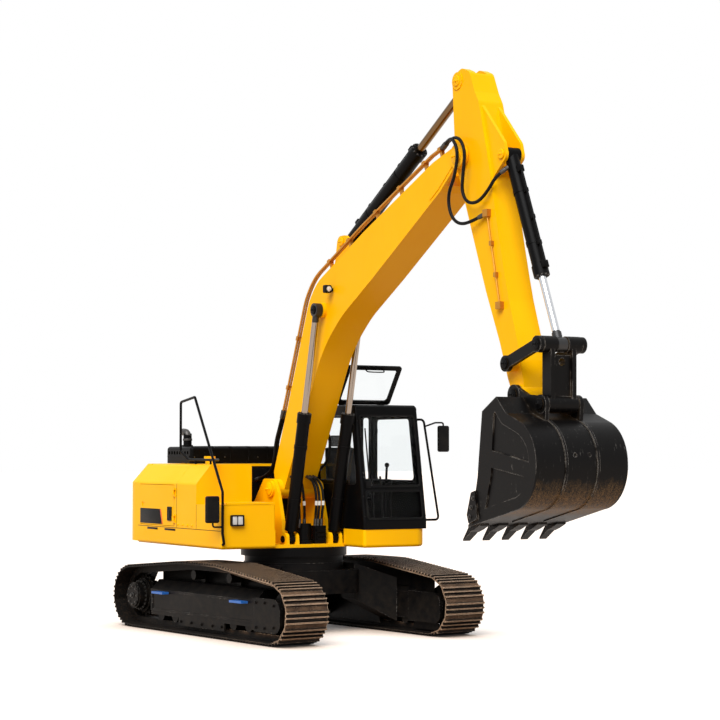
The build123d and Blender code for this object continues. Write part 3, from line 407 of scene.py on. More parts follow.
@dataclass(frozen=True)
class BareMetal:
    """Machined or plated metal with fine turning marks, painted near an eye where it has one."""

    name: str
    colour: Colour
    rough: float = 0.14
    marks: float = 0.06
    tarnish: float = 0.12
    eye: Optional[Point] = None
    eye_reach: float = 0.16
    eye_colour: Colour = tint(16, 16, 17)

    def material(self) -> bpy.types.Material:
        """Builds the metal's material.

        Returns:
            The material.
        """
        graph = Graph(self.name)
        film = graph.noise(5.0, 4.0).ramp(0.4, 0.75) * self.tarnish
        colour = graph.mix(film, self.colour, tuple(0.55 * value for value in self.colour))
        ring = graph.noise(70.0, 2.0, 0.5, (1.0, 0.2, 2.4))
        rough, metal = ring * self.marks + film * 0.4 + self.rough, 1.0
        if self.eye:
            paint = graph.reach(self.eye).ramp(self.eye_reach, self.eye_reach - 0.004)
            colour = graph.mix(paint, colour, self.eye_colour)
            metal = 1.0 - paint
            rough = rough + paint * 0.3
        return graph.surface({
            "Base Color": colour, "Metallic": metal, "Roughness": rough,
            "Normal": graph.bump(ring, 0.06, 0.0006),
        })


@dataclass(frozen=True)
class Moulded:
    """Moulded plastic or rubber with a fine leathery grain."""

    name: str
    colour: Colour
    rough: float = 0.55
    grain: float = 160.0
    depth: float = 0.0012
    dust: float = 0.12

    def material(self) -> bpy.types.Material:
        """Builds the moulding's material.

        Returns:
            The material.
        """
        graph = Graph(self.name)
        pore = graph.add("ShaderNodeTexVoronoi", {}, {"Vector": graph.place, "Scale": self.grain}, "Distance")
        film = graph.noise(5.0, 5.0).ramp(0.4, 0.75) * self.dust
        colour = graph.mix(film, self.colour, tint(112, 104, 94))
        return graph.surface({
            "Base Color": colour, "Roughness": film * 0.5 + pore * 0.1 + self.rough,
            "Specular IOR Level": 0.1, "Normal": graph.bump(pore, 0.25, self.depth),
        })


@dataclass(frozen=True)
class Woven:
    """Seat cloth: crossed threads with a soft sheen."""

    name: str
    colour: Colour
    thread: Colour
    pitch: float = 420.0

    def material(self) -> bpy.types.Material:
        """Builds the cloth's material.

        Returns:
            The material.
        """
        graph = Graph(self.name)
        waves = {"Vector": graph.place, "Scale": self.pitch, "Distortion": 0.6}
        warp = graph.add("ShaderNodeTexWave", {"bands_direction": "Y"}, waves, "Fac")
        weft = graph.add("ShaderNodeTexWave", {"bands_direction": "Z"}, waves, "Fac")
        weave = warp * 0.5 + weft * 0.5
        worn = graph.noise(6.0).ramp(0.4, 0.7)
        colour = graph.mix(weave * 0.5 + worn * 0.2, self.colour, self.thread)
        return graph.surface({
            "Base Color": colour, "Roughness": weave * 0.1 + 0.82, "Sheen Weight": 0.3,
            "Normal": graph.bump(weave, 0.4, 0.001),
        })


@dataclass(frozen=True)
class Pane:
    """Clear sheet glass with a faint film of dust, or a lens with moulded ribs."""

    name: str
    colour: Colour
    film: float = 0.04
    ribs: float = 0.0
    clear: float = 1.0

    def material(self) -> bpy.types.Material:
        """Builds the glass's material.

        Returns:
            The material.
        """
        graph = Graph(self.name)
        smear = graph.noise(3.0, 5.0).ramp(0.45, 0.8)
        colour = graph.mix(smear * self.film, self.colour, tint(200, 200, 195))
        sockets = {
            "Base Color": colour, "Roughness": smear * self.film * 0.6 + 0.01,
            "Transmission Weight": self.clear, "IOR": 1.12,
        }
        if self.ribs:
            waves = {"Vector": graph.place, "Scale": self.ribs}
            rib = graph.add("ShaderNodeTexWave", {"bands_direction": "Y"}, waves, "Fac")
            sockets["Normal"] = graph.bump(rib, 0.5, 0.003)
        return graph.surface(sockets)


YELLOW = Paint(
    "yellow_paint", tint(255, 189, 0), tint(254, 181, 0), tint(112, 92, 70), rough=0.42, coat=0.1, gloss=0.06,
    wear=0.2, dust=0.08,
)
BLACK = Paint(
    "black_paint", tint(6, 6, 7), tint(11, 10, 10), tint(82, 76, 70), rough=0.38, coat=0.0, gloss=0.06,
    wear=0.35, dust=0.12, dust_colour=tint(92, 80, 66),
)
FRAME = Paint(
    "frame_paint", tint(8, 8, 9), tint(13, 12, 12), tint(150, 146, 140), rough=0.38, coat=0.0, gloss=0.07,
    wear=1.0, dust=0.16, dust_colour=tint(92, 80, 66),
)
CAB = Paint(
    "cab_paint", tint(6, 6, 7), tint(9, 9, 10), tint(96, 94, 90), rough=0.32, coat=0.0, gloss=0.06, dust=0.05,
)
ORANGE = Paint(
    "orange_paint", tint(232, 96, 8), tint(224, 92, 8), tint(120, 96, 80), gloss=0.2, coat=0.0, dust=0.1,
)
BLUE = Paint("blue_paint", tint(10, 92, 176), tint(22, 104, 184), tint(120, 116, 110), wear=0.5, dust=0.2)
TRACK = TrackSteel("track_steel", tint(7, 6, 5), tint(124, 97, 75), tint(226, 200, 172))
DIGGER = DigSteel("bucket_steel", tint(7, 6, 6), tint(152, 124, 90), tint(196, 192, 186))
# The boom and arm rods are tinted darker than the bucket rod, and the arm rod brown: painted shade on both,
# and a painted reflection of the yellow paint on the arm rod.
BOOM_ROD = BareMetal("boom_rod_chrome_painted_shade", tint(150, 140, 130), rough=0.1, eye=(1.177, 0.0, 4.092))
ARM_ROD = BareMetal("arm_rod_chrome_painted_reflection", tint(112, 88, 60), rough=0.12, eye=(4.171, 0.0, 6.506))
BUCKET_ROD = BareMetal("bucket_rod_chrome", tint(206, 208, 212), rough=0.08, eye=(5.866, 0.0, 3.443))
STEEL = BareMetal("bare_steel", tint(84, 82, 80), rough=0.34, marks=0.12, tarnish=0.5)
PLATED = BareMetal("yellow_zinc", tint(192, 136, 56), rough=0.36, marks=0.1, tarnish=0.3)
SILVER = BareMetal("mirror_silver", tint(220, 222, 224), rough=0.03, marks=0.01, tarnish=0.04)
RUBBER = Moulded("hose_rubber", tint(9, 9, 10), rough=0.42, grain=240.0, depth=0.0008, dust=0.06)
PLASTIC = Moulded("black_plastic", tint(9, 9, 10), rough=0.42, dust=0.05)
LABEL = Moulded("blank_tag", tint(236, 236, 232), rough=0.45, grain=90.0, depth=0.0003, dust=0.05)
CLOTH = Woven("seat_cloth", tint(16, 17, 19), tint(34, 35, 38))
GLASS = Pane("cab_glass", tint(250, 252, 252), film=0.02)
LENS = Pane("lamp_lens", tint(250, 250, 248), film=0.1, ribs=46.0, clear=0.3)


class Finisher:
    """Keeps one material for each finish and gives it to pieces."""

    def __init__(self) -> None:
        """Starts with no materials made."""
        self.made: dict[str, bpy.types.Material] = {}

    def of(self, finish: Any) -> bpy.types.Material:
        """The material of a finish, made once.

        Args:
            finish: The finish.

        Returns:
            Its material.
        """
        if finish.name not in self.made:
            self.made[finish.name] = finish.material()
        return self.made[finish.name]

    def dress(self, piece: bpy.types.Object, finish: Any) -> None:
        """Gives a piece one finish all over."""
        piece.data.materials.clear()
        piece.data.materials.append(self.of(finish))

    def dress_nodes(self, table: dict[Any, Sequence[str]]) -> None:
        """Gives the solids of the frame their finishes.

        Args:
            table: The names of the solids for each finish.
        """
        for finish, names in table.items():
            for name in names:
                self.dress(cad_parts[name], finish)
                LOG.info("%s takes %s", name, finish.name)


FINISHER = Finisher()

NODE_FINISHES: dict[Any, Sequence[str]] = {
    YELLOW: (
        "upper_frame", "engine_housing", "pump_door", "radiator_door", "fuel_tank", "tool_box",
        "tool_box_lid", "boom", "arm", "counterweight",
    ),
    FRAME: (
        "track_frame_right", "track_frame_left", "car_body", "final_drives", "front_idlers", "track_rollers",
    ),
    BLACK: (
        "boom_cylinder_barrels", "arm_cylinder_barrel", "bucket_cylinder_barrel", "handrails", "exhaust_pipe",
        "slew_ring", "engine_hood", "engine_block", "swing_drive",
    ),
    CAB: ("cab_frame", "cab_roof", "cab_door", "roof_hatch"),
    BLUE: ("foot_steps",),
    TRACK: ("track_right", "track_left"),
    DIGGER: ("bucket", "bucket_link", "rockers"),
    BOOM_ROD: ("boom_cylinder_rods",),
    ARM_ROD: ("arm_cylinder_rod",),
    BUCKET_ROD: ("bucket_cylinder_rod",),
    PLATED: ("boom_pipes", "arm_pipe"),
    GLASS: ("cab_glass", "door_glass", "hatch_glass"),
    PLASTIC: ("mirrors", "cab_controls", "tool_box_lamp", "boom_lamp"),
    CLOTH: ("cab_seat",),
}


class Build:
    """A piece in the making: shapes are added one by one and leave as one object."""

    def __init__(self, name: str) -> None:
        """Starts an empty mesh."""
        self.name = name
        self.mesh = bmesh.new()

    def soften(self, verts: Sequence[bmesh.types.BMVert], width: float) -> None:
        """Bevels the sharp edges of a shape.

        Args:
            verts: The shape's vertices.
            width: Width of the bevel.
        """
        edges = {edge for vert in verts for edge in vert.link_edges}
        sharp = [edge for edge in edges if len(edge.link_faces) == 2 and edge.calc_face_angle(0.0) > SHARP]
        bmesh.ops.bevel(
            self.mesh, geom=sharp, offset=width, affect="EDGES", segments=2, profile=0.5, material=-1,
            clamp_overlap=True,
        )

    def box(self, low: Point, high: Point, bevel: float, turn: Optional[Matrix] = None) -> None:
        """Adds a block with softened edges.

        Args:
            low: Its lowest corner.
            high: Its highest corner.
            bevel: Width of the softened edges.
            turn: A turn about the block's middle.
        """
        middle = (Vector(low) + Vector(high)) / 2
        size = Matrix.Diagonal((*(Vector(high) - Vector(low)), 1.0))
        place = Matrix.Translation(middle) @ (turn or Matrix()) @ size
        self.soften(bmesh.ops.create_cube(self.mesh, size=1.0, matrix=place)["verts"], bevel)

    def rod(self, start: Point, end: Point, radius: float, sides: int, bevel: float) -> None:
        """Adds a round or many-sided bar.

        Args:
            start: Middle of its first end.
            end: Middle of its second end.
            radius: Its radius.
            sides: How many sides it has.
            bevel: Width of the softened rims.
        """
        way = Vector(end) - Vector(start)
        place = upright((Vector(start) + Vector(end)) / 2, way)
        made = bmesh.ops.create_cone(
            self.mesh, cap_ends=True, segments=sides, radius1=radius, radius2=radius, depth=way.length,
            matrix=place,
        )
        self.soften(made["verts"], bevel)

    def bolt(self, at: Point, axis: Point, size: float) -> None:
        """Adds a hexagon head on its washer.

        Args:
            at: Where the washer lies on its seat.
            axis: The way the head points.
            size: Radius of the head.
        """
        seat, way = Vector(at), Vector(axis).normalized()
        rise = seat + way * size * WASHER_HEIGHT
        self.rod(seat - way * 0.002, rise, size * WASHER_WIDTH, 12, size * 0.08)
        self.rod(rise - way * 0.001, rise + way * size * HEAD_HEIGHT, size, 6, size * 0.12)

    def panel(self, side: int, depth: Pair, x: Pair, z: Pair, bevel: float) -> None:
        """Adds a flat block on a side wall."""
        low, high = sorted(side * value for value in depth)
        self.box((x[0], low, z[0]), (x[1], high, z[1]), bevel)

    def _sheet(self, corners: Sequence[Point], round_by: float, steps: int) -> bmesh.types.BMFace:
        """Adds a flat face.

        Args:
            corners: Its corners.
            round_by: Size of the rounded corners.
            steps: How many edges round a corner.

        Returns:
            The face.
        """
        verts = [self.mesh.verts.new(point) for point in corners]
        face = self.mesh.faces.new(verts)
        if not round_by:
            return face
        made = bmesh.ops.bevel(
            self.mesh, geom=verts, offset=round_by, affect="VERTICES", segments=steps, profile=0.5,
            material=-1,
        )
        return made["verts"][0].link_faces[0]

    def _draw_out(self, faces: Sequence[bmesh.types.BMFace], lift: Point) -> list[bmesh.types.BMVert]:
        """Draws flat faces out into a solid.

        Args:
            faces: The faces.
            lift: How far, and which way.

        Returns:
            The vertices that moved.
        """
        grown = bmesh.ops.extrude_face_region(self.mesh, geom=faces)["geom"]
        lifted = [item for item in grown if isinstance(item, bmesh.types.BMVert)]
        bmesh.ops.translate(self.mesh, vec=lift, verts=lifted)
        return lifted

    def prism(self, outline: Sequence[Point], lift: Point, bevel: float, round_by: float = 0.0) -> None:
        """Adds a flat outline drawn out into a plate."""
        self.soften(self._draw_out([self._sheet(outline, round_by, 4)], lift), bevel)

    def ring(self, corners: Sequence[Point], round_by: float, width: float, lift: Point) -> None:
        """Adds a flat frame round an opening.

        Args:
            corners: The opening's corners, as seen from outside.
            round_by: Size of its rounded corners.
            width: Width of the frame, measured inwards.
            lift: Its thickness, and which way it stands out.
        """
        face = self._sheet(corners, round_by, 5)
        rim = bmesh.ops.inset_individual(
            self.mesh, faces=[face], thickness=width, use_even_offset=True)["faces"]
        bmesh.ops.delete(self.mesh, geom=[face], context="FACES_ONLY")
        self._draw_out(rim, lift)

    def lathe(self, profile: Sequence[Pair], at: Point, axis: Point, steps: int = 28) -> None:
        """Adds a turned shape.

        Args:
            profile: Pairs of radius and height, from end to end.
            at: Foot of the turning axis.
            axis: Direction of the turning axis.
            steps: How many faces there are round it.
        """
        verts = [self.mesh.verts.new((radius, 0.0, height)) for radius, height in profile]
        edges = [self.mesh.edges.new(pair) for pair in zip(verts, verts[1:])]
        bmesh.ops.spin(
            self.mesh, geom=[*verts, *edges], cent=(0, 0, 0), axis=(0, 0, 1), angle=math.tau, steps=steps,
            use_merge=True,
        )
        turned = {vert for face in self._faces_of(verts) for vert in face.verts}
        bmesh.ops.transform(self.mesh, matrix=upright(Vector(at), Vector(axis)), verts=list(turned))
        bmesh.ops.remove_doubles(self.mesh, verts=list(turned), dist=MERGE)

    def _faces_of(self, verts: Sequence[bmesh.types.BMVert]) -> set[bmesh.types.BMFace]:
        """All faces joined to the given vertices.

        Args:
            verts: The vertices.

        Returns:
            The faces, near and far.
        """
        faces = {face for vert in verts for face in vert.link_faces}
        fresh = faces
        while fresh:
            fresh = {near for face in fresh for vert in face.verts for near in vert.link_faces} - faces
            faces = faces | fresh
        return faces

    def pipe(self, points: Sequence[Point], radius: float) -> None:
        """Adds a bent pipe on a smooth line.

        Args:
            points: The line's control points.
            radius: The pipe's radius.
        """
        mesh = mesh_of(smooth_line(self.name + "_line", points, radius))
        self.mesh.from_mesh(mesh)
        bpy.data.meshes.remove(mesh)

    def done(self, body: Body, finish: Any) -> bpy.types.Object:
        """Ends the piece and lets it ride.

        Args:
            body: The body that carries it.
            finish: Its finish.

        Returns:
            The finished piece.
        """
        piece = self.loose(finish)
        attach(piece, body.value)
        return piece

    def loose(self, finish: Any) -> bpy.types.Object:
        """Ends the piece without giving it a body.

        Args:
            finish: Its finish.

        Returns:
            The finished piece.
        """
        bmesh.ops.recalc_face_normals(self.mesh, faces=self.mesh.faces)
        data = bpy.data.meshes.new(self.name)
        self.mesh.to_mesh(data)
        self.mesh.free()
        return dressed(self.name, data, finish, CREASE)


def upright(foot: Vector, axis: Vector) -> Matrix:
    """The place of a shape that is made standing up."""
    return Matrix.Translation(foot) @ axis.to_track_quat("Z", "Y").to_matrix().to_4x4()


def rectangle(across: Pair, up: Pair) -> list[Pair]:
    """Corners of a rectangle, one after the other."""
    return [(across[0], up[0]), (across[1], up[0]), (across[1], up[1]), (across[0], up[1])]


def placed(name: str, data: Any) -> bpy.types.Object:
    """Puts data into the scene.

    Args:
        name: The object's name.
        data: Its mesh, line, light or camera.

    Returns:
        The object.
    """
    thing = bpy.data.objects.new(name, data)
    bpy.context.collection.objects.link(thing)
    return thing


def dressed(name: str, data: bpy.types.Mesh, finish: Any, crease: float) -> bpy.types.Object:
    """Turns a mesh into a piece with a finish.

    Args:
        name: The piece's name.
        data: Its mesh.
        finish: Its finish.
        crease: Angle in degrees above which an edge stays sharp.

    Returns:
        The piece, which has no body yet.
    """
    data.shade_smooth()
    data.set_sharp_from_angle(angle=math.radians(crease))
    piece = placed(name, data)
    FINISHER.dress(piece, finish)
    LOG.info("%s has %d faces", name, len(data.polygons))
    return piece


def smooth_line(name: str, points: Sequence[Point], radius: float = 0.0) -> bpy.types.Curve:
    """Makes a smooth line that is led by its control points.

    Args:
        name: The line's name.
        points: The control points.
        radius: Radius of the tube round it, or nothing for a bare line.

    Returns:
        The line.
    """
    data = bpy.data.curves.new(name, "CURVE")
    data.dimensions = "3D"
    line = data.splines.new("NURBS")
    line.points.add(len(points) - 1)
    for spot, point in zip(line.points, points):
        spot.co = (*point, 1.0)
    line.order_u = 3
    line.use_endpoint_u = True
    line.resolution_u = 8
    if radius:
        data.bevel_depth = radius
        data.bevel_resolution = TUBE_STEPS
        data.use_fill_caps = True
    return data


def mesh_of(data: bpy.types.Curve) -> bpy.types.Mesh:
    """Turns a line into a mesh.

    Args:
        data: The line.

    Returns:
        Its mesh.
    """
    holder = placed(data.name, data)
    bpy.context.view_layer.update()
    mesh = bpy.data.meshes.new_from_object(holder)
    bpy.data.objects.remove(holder)
    return mesh


@dataclass
class Hose:
    """A rubber hose that leaves the machine at one fitting and goes back in at another."""

    name: str
    route: Sequence[Point]
    body: Body
    far_body: Optional[Body] = None
    span: Optional[Span] = None
    radius: float = 0.019
    tags: Sequence[float] = ()

    def build(self) -> None:
        """Makes the hose, its end fittings and its blank tags."""
        bare = mesh_of(smooth_line(self.name, self.route))
        path = [tuple(vert.co) for vert in bare.vertices]
        bpy.data.meshes.remove(bare)
        tube = mesh_of(smooth_line(self.name, self.route, self.radius))
        piece = dressed(self.name, tube, RUBBER, HOSE_CREASE)
        self.carry(piece)
        self.fitting("first", path[0], path[2], self.body)
        self.fitting("last", path[-1], path[-3], self.far_body or self.body)
        for number, share in enumerate(self.tags):
            self.tag(number, path, share)

    def carry(self, piece: bpy.types.Object) -> None:
        """Lets a piece ride on one body, or, for a hose between two bodies, bakes its place into its mesh and
        leaves it without a body.

        Args:
            piece: The hose or its tag.
        """
        if self.far_body and self.span:
            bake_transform(piece)
        else:
            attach(piece, self.body.value)

    def fitting(self, which: str, end: Point, inner: Point, body: Body) -> None:
        """Makes a crimped ferrule with its nut at one end.

        Args:
            which: Which end it is.
            end: The end's place.
            inner: A place further in, for the direction.
            body: The body that carries it.
        """
        way = (Vector(inner) - Vector(end)).normalized()
        nut, ferrule = (-0.012, 0.03, 1.4, 6, 0.002), (0.028, 0.1, 1.28, 18, 0.003)
        crimps = [(start, start + 0.008, 1.36, 18, 0.002) for start in (0.042, 0.06, 0.078)]
        build = Build(f"{self.name}_{which}_fitting")
        for start, stop, share, sides, bevel in (nut, ferrule, *crimps):
            ends = [tuple(Vector(end) + way * distance) for distance in (start, stop)]
            build.rod(*ends, self.radius * share, sides, bevel)
        build.done(body, STEEL)

    def tag(self, number: int, path: Sequence[Point], share: float) -> None:
        """Makes a blank sleeve round the hose.

        Args:
            number: Which sleeve it is.
            path: Places along the hose.
            share: Where on the hose it lies, as a share of its length.
        """
        first = round(share * (len(path) - 1))
        build = Build(f"{self.name}_tag_{number}")
        build.pipe(path[first:first + 4], self.radius * 1.12)
        self.carry(build.loose(LABEL))


@dataclass
class PinCaps:
    """Turned caps with two bolts and a grease nipple on the ends of the pins."""

    thick: float = 0.014
    nipple: Sequence[Pair] = ((0.0, 0.016), (0.005, 0.016), (0.009, 0.009), (0.009, 0.0))
    rows: Sequence[tuple[str, Body, Any, float, float, float, float]] = (
        ("boom_foot", Body.UPPER, YELLOW, 0.02, 1.84, 0.379, 0.082),
        ("boom_ram_base", Body.UPPER, BLACK, 0.483, 1.207, 0.419, 0.046),
        ("boom_ram_eye", Body.BOOM_RODS, BLACK, 1.177, 4.092, 0.361, 0.058),
        ("arm_pivot", Body.BOOM, YELLOW, 4.265, 5.635, 0.249, 0.088),
        ("arm_ram_base", Body.BOOM, YELLOW, 1.5, 4.93, 0.149, 0.056),
        ("arm_ram_eye", Body.ARM, YELLOW, 4.171, 6.506, 0.174, 0.062),
        ("bucket_ram_base", Body.ARM, YELLOW, 4.99, 5.572, 0.134, 0.055),
        ("rocker_pivot", Body.ARM, BLACK, 5.286, 3.26, 0.307, 0.062),
        ("link_top", Body.ROCKERS, BLACK, 5.866, 3.443, 0.299, 0.062),
        ("bucket_pivot", Body.BUCKET, BLACK, 5.371, 2.923, 0.261, 0.066),
        ("link_foot", Body.BUCKET, BLACK, 5.862, 2.814, 0.261, 0.062),
    )

    def build(self) -> None:
        """Makes the caps of every pin, one piece for both sides."""
        for name, body, finish, x, z, y, radius in self.rows:
            build = Build(f"{name}_caps")
            for side in SIDES:
                self.cap(build, (x, side * y, z), side, radius)
            build.done(body, finish)

    def cap(self, build: Build, at: Point, side: int, radius: float) -> None:
        """Adds one cap.

        Args:
            build: The piece that it joins.
            at: Middle of the pin's end face.
            side: Side of the machine.
            radius: Radius of the cap.
        """
        thick, axis = self.thick, (0.0, float(side), 0.0)
        profile = (
            (0.0, thick * 1.15), (radius * 0.3, thick * 1.15), (radius * 0.36, thick), (radius * 0.86, thick),
            (radius, thick * 0.6), (radius, -0.002),
        )
        build.lathe(profile, at, axis)
        out = Vector(at) + Vector(axis) * thick
        for share in (-0.62, 0.62):
            build.bolt(tuple(out + Vector((radius * share, -0.001 * side, 0.0))), axis, radius * 0.13)
        build.lathe(self.nipple, tuple(out), axis, 12)


@dataclass(frozen=True)
class Barrel:
    """A cylinder's barrel, which runs from its base pin towards the rod's eye."""

    name: str
    body: Body
    base: Point
    eye: Point
    length: float
    outer: float
    tracks: Sequence[float] = (0.0,)


@dataclass
class Rams:
    """Steel lines, clamps and gland bolts on the cylinders' barrels."""

    pipe: float = 0.014
    gap: float = 0.03
    blocks: Sequence[Pair] = ((0.15, 0.04), (0.935, 0.042), (0.33, 0.026), (0.55, 0.026), (0.76, 0.026))
    bolts: int = 10
    barrels: Sequence[Barrel] = (
        Barrel("bucket_ram", Body.BUCKET_BARREL, (4.99, 0, 5.572), (5.866, 0, 3.443), 1.49, 0.078),
        Barrel("arm_ram", Body.ARM_BARREL, (1.5, 0, 4.93), (4.171, 0, 6.506), 1.857, 0.092),
        Barrel(
            "boom_rams", Body.BOOM_BARRELS, (0.483, 0, 1.207), (1.177, 0, 4.092), 1.64, 0.08, (0.318, -0.318),
        ),
    )

    def build(self) -> None:
        """Makes the lines and bolts of each cylinder."""
        for ram in self.barrels:
            way = (Vector(ram.eye) - Vector(ram.base)).normalized()
            across = way.cross(Vector((0, 1, 0)))
            lines, bolts = Build(f"{ram.name}_lines"), Build(f"{ram.name}_gland_bolts")
            for y in ram.tracks:
                foot = Vector(ram.base) + Vector((0, y, 0))
                self.line(lines, ram, foot, way, across)
                self.gland(bolts, ram, foot, way, across)
            lines.done(ram.body, BLACK)
            bolts.done(ram.body, STEEL)

    def line(self, build: Build, ram: Barrel, foot: Vector, way: Vector, across: Vector) -> None:
        """Adds the oil line along one barrel with its blocks and clamps.

        Args:
            build: The piece that it joins.
            ram: The barrel.
            foot: The barrel's base pin.
            way: Direction along the barrel.
            across: Direction from the barrel to the line.
        """
        def at(share: float, rise: float) -> Point:
            """A place along the barrel and above its wall."""
            return tuple(foot + way * ram.length * share + across * (ram.outer + rise))

        low, high = self.gap * 0.8, self.gap + 0.004
        route = (
            (0.15, 0.0), (0.15, low), (0.18, high), (0.26, high), (0.6, high), (0.86, high), (0.91, high),
            (0.935, low), (0.935, 0.0),
        )
        build.pipe([at(*spot) for spot in route], self.pipe)
        turn = Matrix((way, across.cross(way), across)).transposed().to_4x4()
        for share, size in self.blocks:
            middle, half = Vector(at(share, 0.012)), Vector((size, size * 0.9, 0.03))
            build.box(tuple(middle - half), tuple(middle + half), 0.006, turn)

    def gland(self, build: Build, ram: Barrel, foot: Vector, way: Vector, across: Vector) -> None:
        """Adds the ring of bolts on the barrel's open end.

        Args:
            build: The piece that it joins.
            ram: The barrel.
            foot: The barrel's base pin.
            way: Direction along the barrel.
            across: Direction across it.
        """
        side = way.cross(across)
        for number in range(self.bolts):
            angle = math.tau * number / self.bolts
            spoke = across * math.cos(angle) + side * math.sin(angle)
            build.bolt(tuple(foot + way * ram.length + spoke * (ram.outer - 0.006)), tuple(way), 0.009)


@dataclass
class BucketFittings:
    """Bolts of the side cutters and pins of the teeth."""

    half: float = 0.615
    cutter: Sequence[Pair] = ((5.075, 1.62), (5.11, 1.72), (5.145, 1.82))
    cutter_bolt: float = 0.019
    teeth: Sequence[float] = (-0.505, -0.252, 0.0, 0.252, 0.505)
    pin: Pair = (5.012, 1.512)
    pin_half: float = 0.067
    pin_radius: float = 0.012

    def build(self) -> None:
        """Makes the bolts and the tooth pins."""
        bolts = Build("side_cutter_bolts")
        for side in SIDES:
            for x, z in self.cutter:
                bolts.bolt((x, side * self.half, z), (0, side, 0), self.cutter_bolt)
        bolts.done(Body.BUCKET, STEEL)
        pins = Build("tooth_pins")
        x, z = self.pin
        for y in self.teeth:
            pins.rod((x, y - self.pin_half, z), (x, y + self.pin_half, z), self.pin_radius, 12, 0.002)
        pins.done(Body.BUCKET, STEEL)


@dataclass
class CabFittings:
    """Seals, wiper, handles, mirror glass and bolts of the cab."""

    nose: float = 1.11
    lean: float = 0.16783
    knee: float = 1.43
    front_y: Pair = (0.463, 1.302)
    panes: Sequence[Pair] = ((1.455, 1.828), (1.87, 2.795))
    seal: float = 0.022
    seal_corner: float = 0.045
    seal_lift: Point = (0.009, 0.0, 0.0015)
    wiper_inset: float = 0.055
    wiper_z: float = 1.9
    wiper_foot: Span = ((-0.01, -0.045, 1.86), (0.03, 0.03, 1.95))
    wiper_arm: Sequence[Point] = (
        (0.02, 0.0, 1.9), (0.034, 0.0, 2.0), (0.034, 0.005, 2.2), (0.026, 0.012, 2.36),
    )
    arm_radius: float = 0.007
    blade_z: Sequence[float] = (2.02, 2.2, 2.4, 2.62)
    blade_radius: float = 0.009
    door_plate: Span = ((0.77, 1.364, 1.72), (0.93, 1.378, 1.82))
    door_grip: Sequence[Pair] = (
        (0.79, 1.376), (0.79, 1.405), (0.83, 1.412), (0.88, 1.412), (0.91, 1.405), (0.91, 1.376),
    )
    door_grip_z: float = 1.77
    door_grip_radius: float = 0.009
    hatch_pivot: Point = (0.195, 0.0, 2.942)
    hatch_open: float = 55.0
    hatch_grip: Sequence[Pair] = (
        (0.78, 2.932), (0.78, 2.89), (0.81, 2.875), (1.02, 2.875), (1.05, 2.89), (1.05, 2.932),
    )
    hatch_grip_x: float = 0.752
    hatch_grip_radius: float = 0.008
    mirrors: Sequence[tuple[float, Pair, Pair]] = (
        (0.63, (-1.58, -1.432), (1.46, 1.745)), (0.96, (1.62, 1.748), (2.343, 2.636)),
    )
    mirror_thick: float = 0.004
    mirror_corner: float = 0.02
    bolt_y: Pair = (0.439, 1.335)
    bolt_z: Sequence[float] = (1.5, 1.75, 2.0, 2.25, 2.5, 2.72)
    bolt_axis: Point = (0.986, 0.0, 0.166)
    bolt_radius: float = 0.008

    def front(self, z: float, off: float = 0.0) -> float:
        """Place of the leaning front at a height, moved out by an offset."""
        return self.nose - self.lean * max(z - self.knee, 0.0) + off

    def build(self) -> None:
        """Makes every fitting of the cab."""
        self.seals()
        self.wiper()
        self.handles()
        self.mirror_glass()
        self.bolts()

    def seals(self) -> None:
        """Makes the rubber seals round the front panes."""
        build = Build("front_pane_seals")
        for span in self.panes:
            corners = [(self.front(z, 0.001), y, z) for y, z in rectangle(self.front_y, span)]
            build.ring(corners, self.seal_corner, self.seal, self.seal_lift)
        build.done(Body.UPPER, RUBBER)

    def wiper(self) -> None:
        """Makes the parked wiper on the inner pillar: its foot, its arm and its blade."""
        y, foot = self.front_y[0] + self.wiper_inset, self.front(self.wiper_z)
        low, high = ((foot + off, y + step, z) for off, step, z in self.wiper_foot)
        build = Build("front_wiper")
        build.box(low, high, 0.01)
        build.pipe([(self.front(z, off), y + step, z) for off, step, z in self.wiper_arm], self.arm_radius)
        build.pipe([(self.front(z, 0.016), y + 0.014, z) for z in self.blade_z], self.blade_radius)
        build.done(Body.UPPER, PLASTIC)

    def handles(self) -> None:
        """Makes the handle of the door, on its plate, and the handle of the hatch, which stands open."""
        door = Build("door_handle")
        door.box(*self.door_plate, 0.006)
        door.pipe([(x, y, self.door_grip_z) for x, y in self.door_grip], self.door_grip_radius)
        door.done(Body.CAB_DOOR, PLASTIC)
        pivot = Vector(self.hatch_pivot)
        opened = Matrix.Rotation(math.radians(-self.hatch_open), 4, "Y")
        turn = Matrix.Translation(pivot) @ opened @ Matrix.Translation(-pivot)
        grip = [tuple(turn @ Vector((self.hatch_grip_x, y, z))) for y, z in self.hatch_grip]
        hatch = Build("hatch_handle")
        hatch.pipe(grip, self.hatch_grip_radius)
        hatch.done(Body.ROOF_HATCH, PLASTIC)

    def mirror_glass(self) -> None:
        """Makes the glass on the mirrors' rear faces."""
        build = Build("mirror_glass")
        for x, y, z in self.mirrors:
            corners = [(x, *spot) for spot in rectangle(y, z)]
            build.prism(corners, (-self.mirror_thick, 0.0, 0.0), 0.0015, self.mirror_corner)
        build.done(Body.UPPER, SILVER)

    def bolts(self) -> None:
        """Makes the bolts of the front frame."""
        build = Build("cab_front_bolts")
        for y in self.bolt_y:
            for z in self.bolt_z:
                build.bolt((self.front(z, -0.002), y, z), self.bolt_axis, self.bolt_radius)
        build.done(Body.UPPER, BLACK)


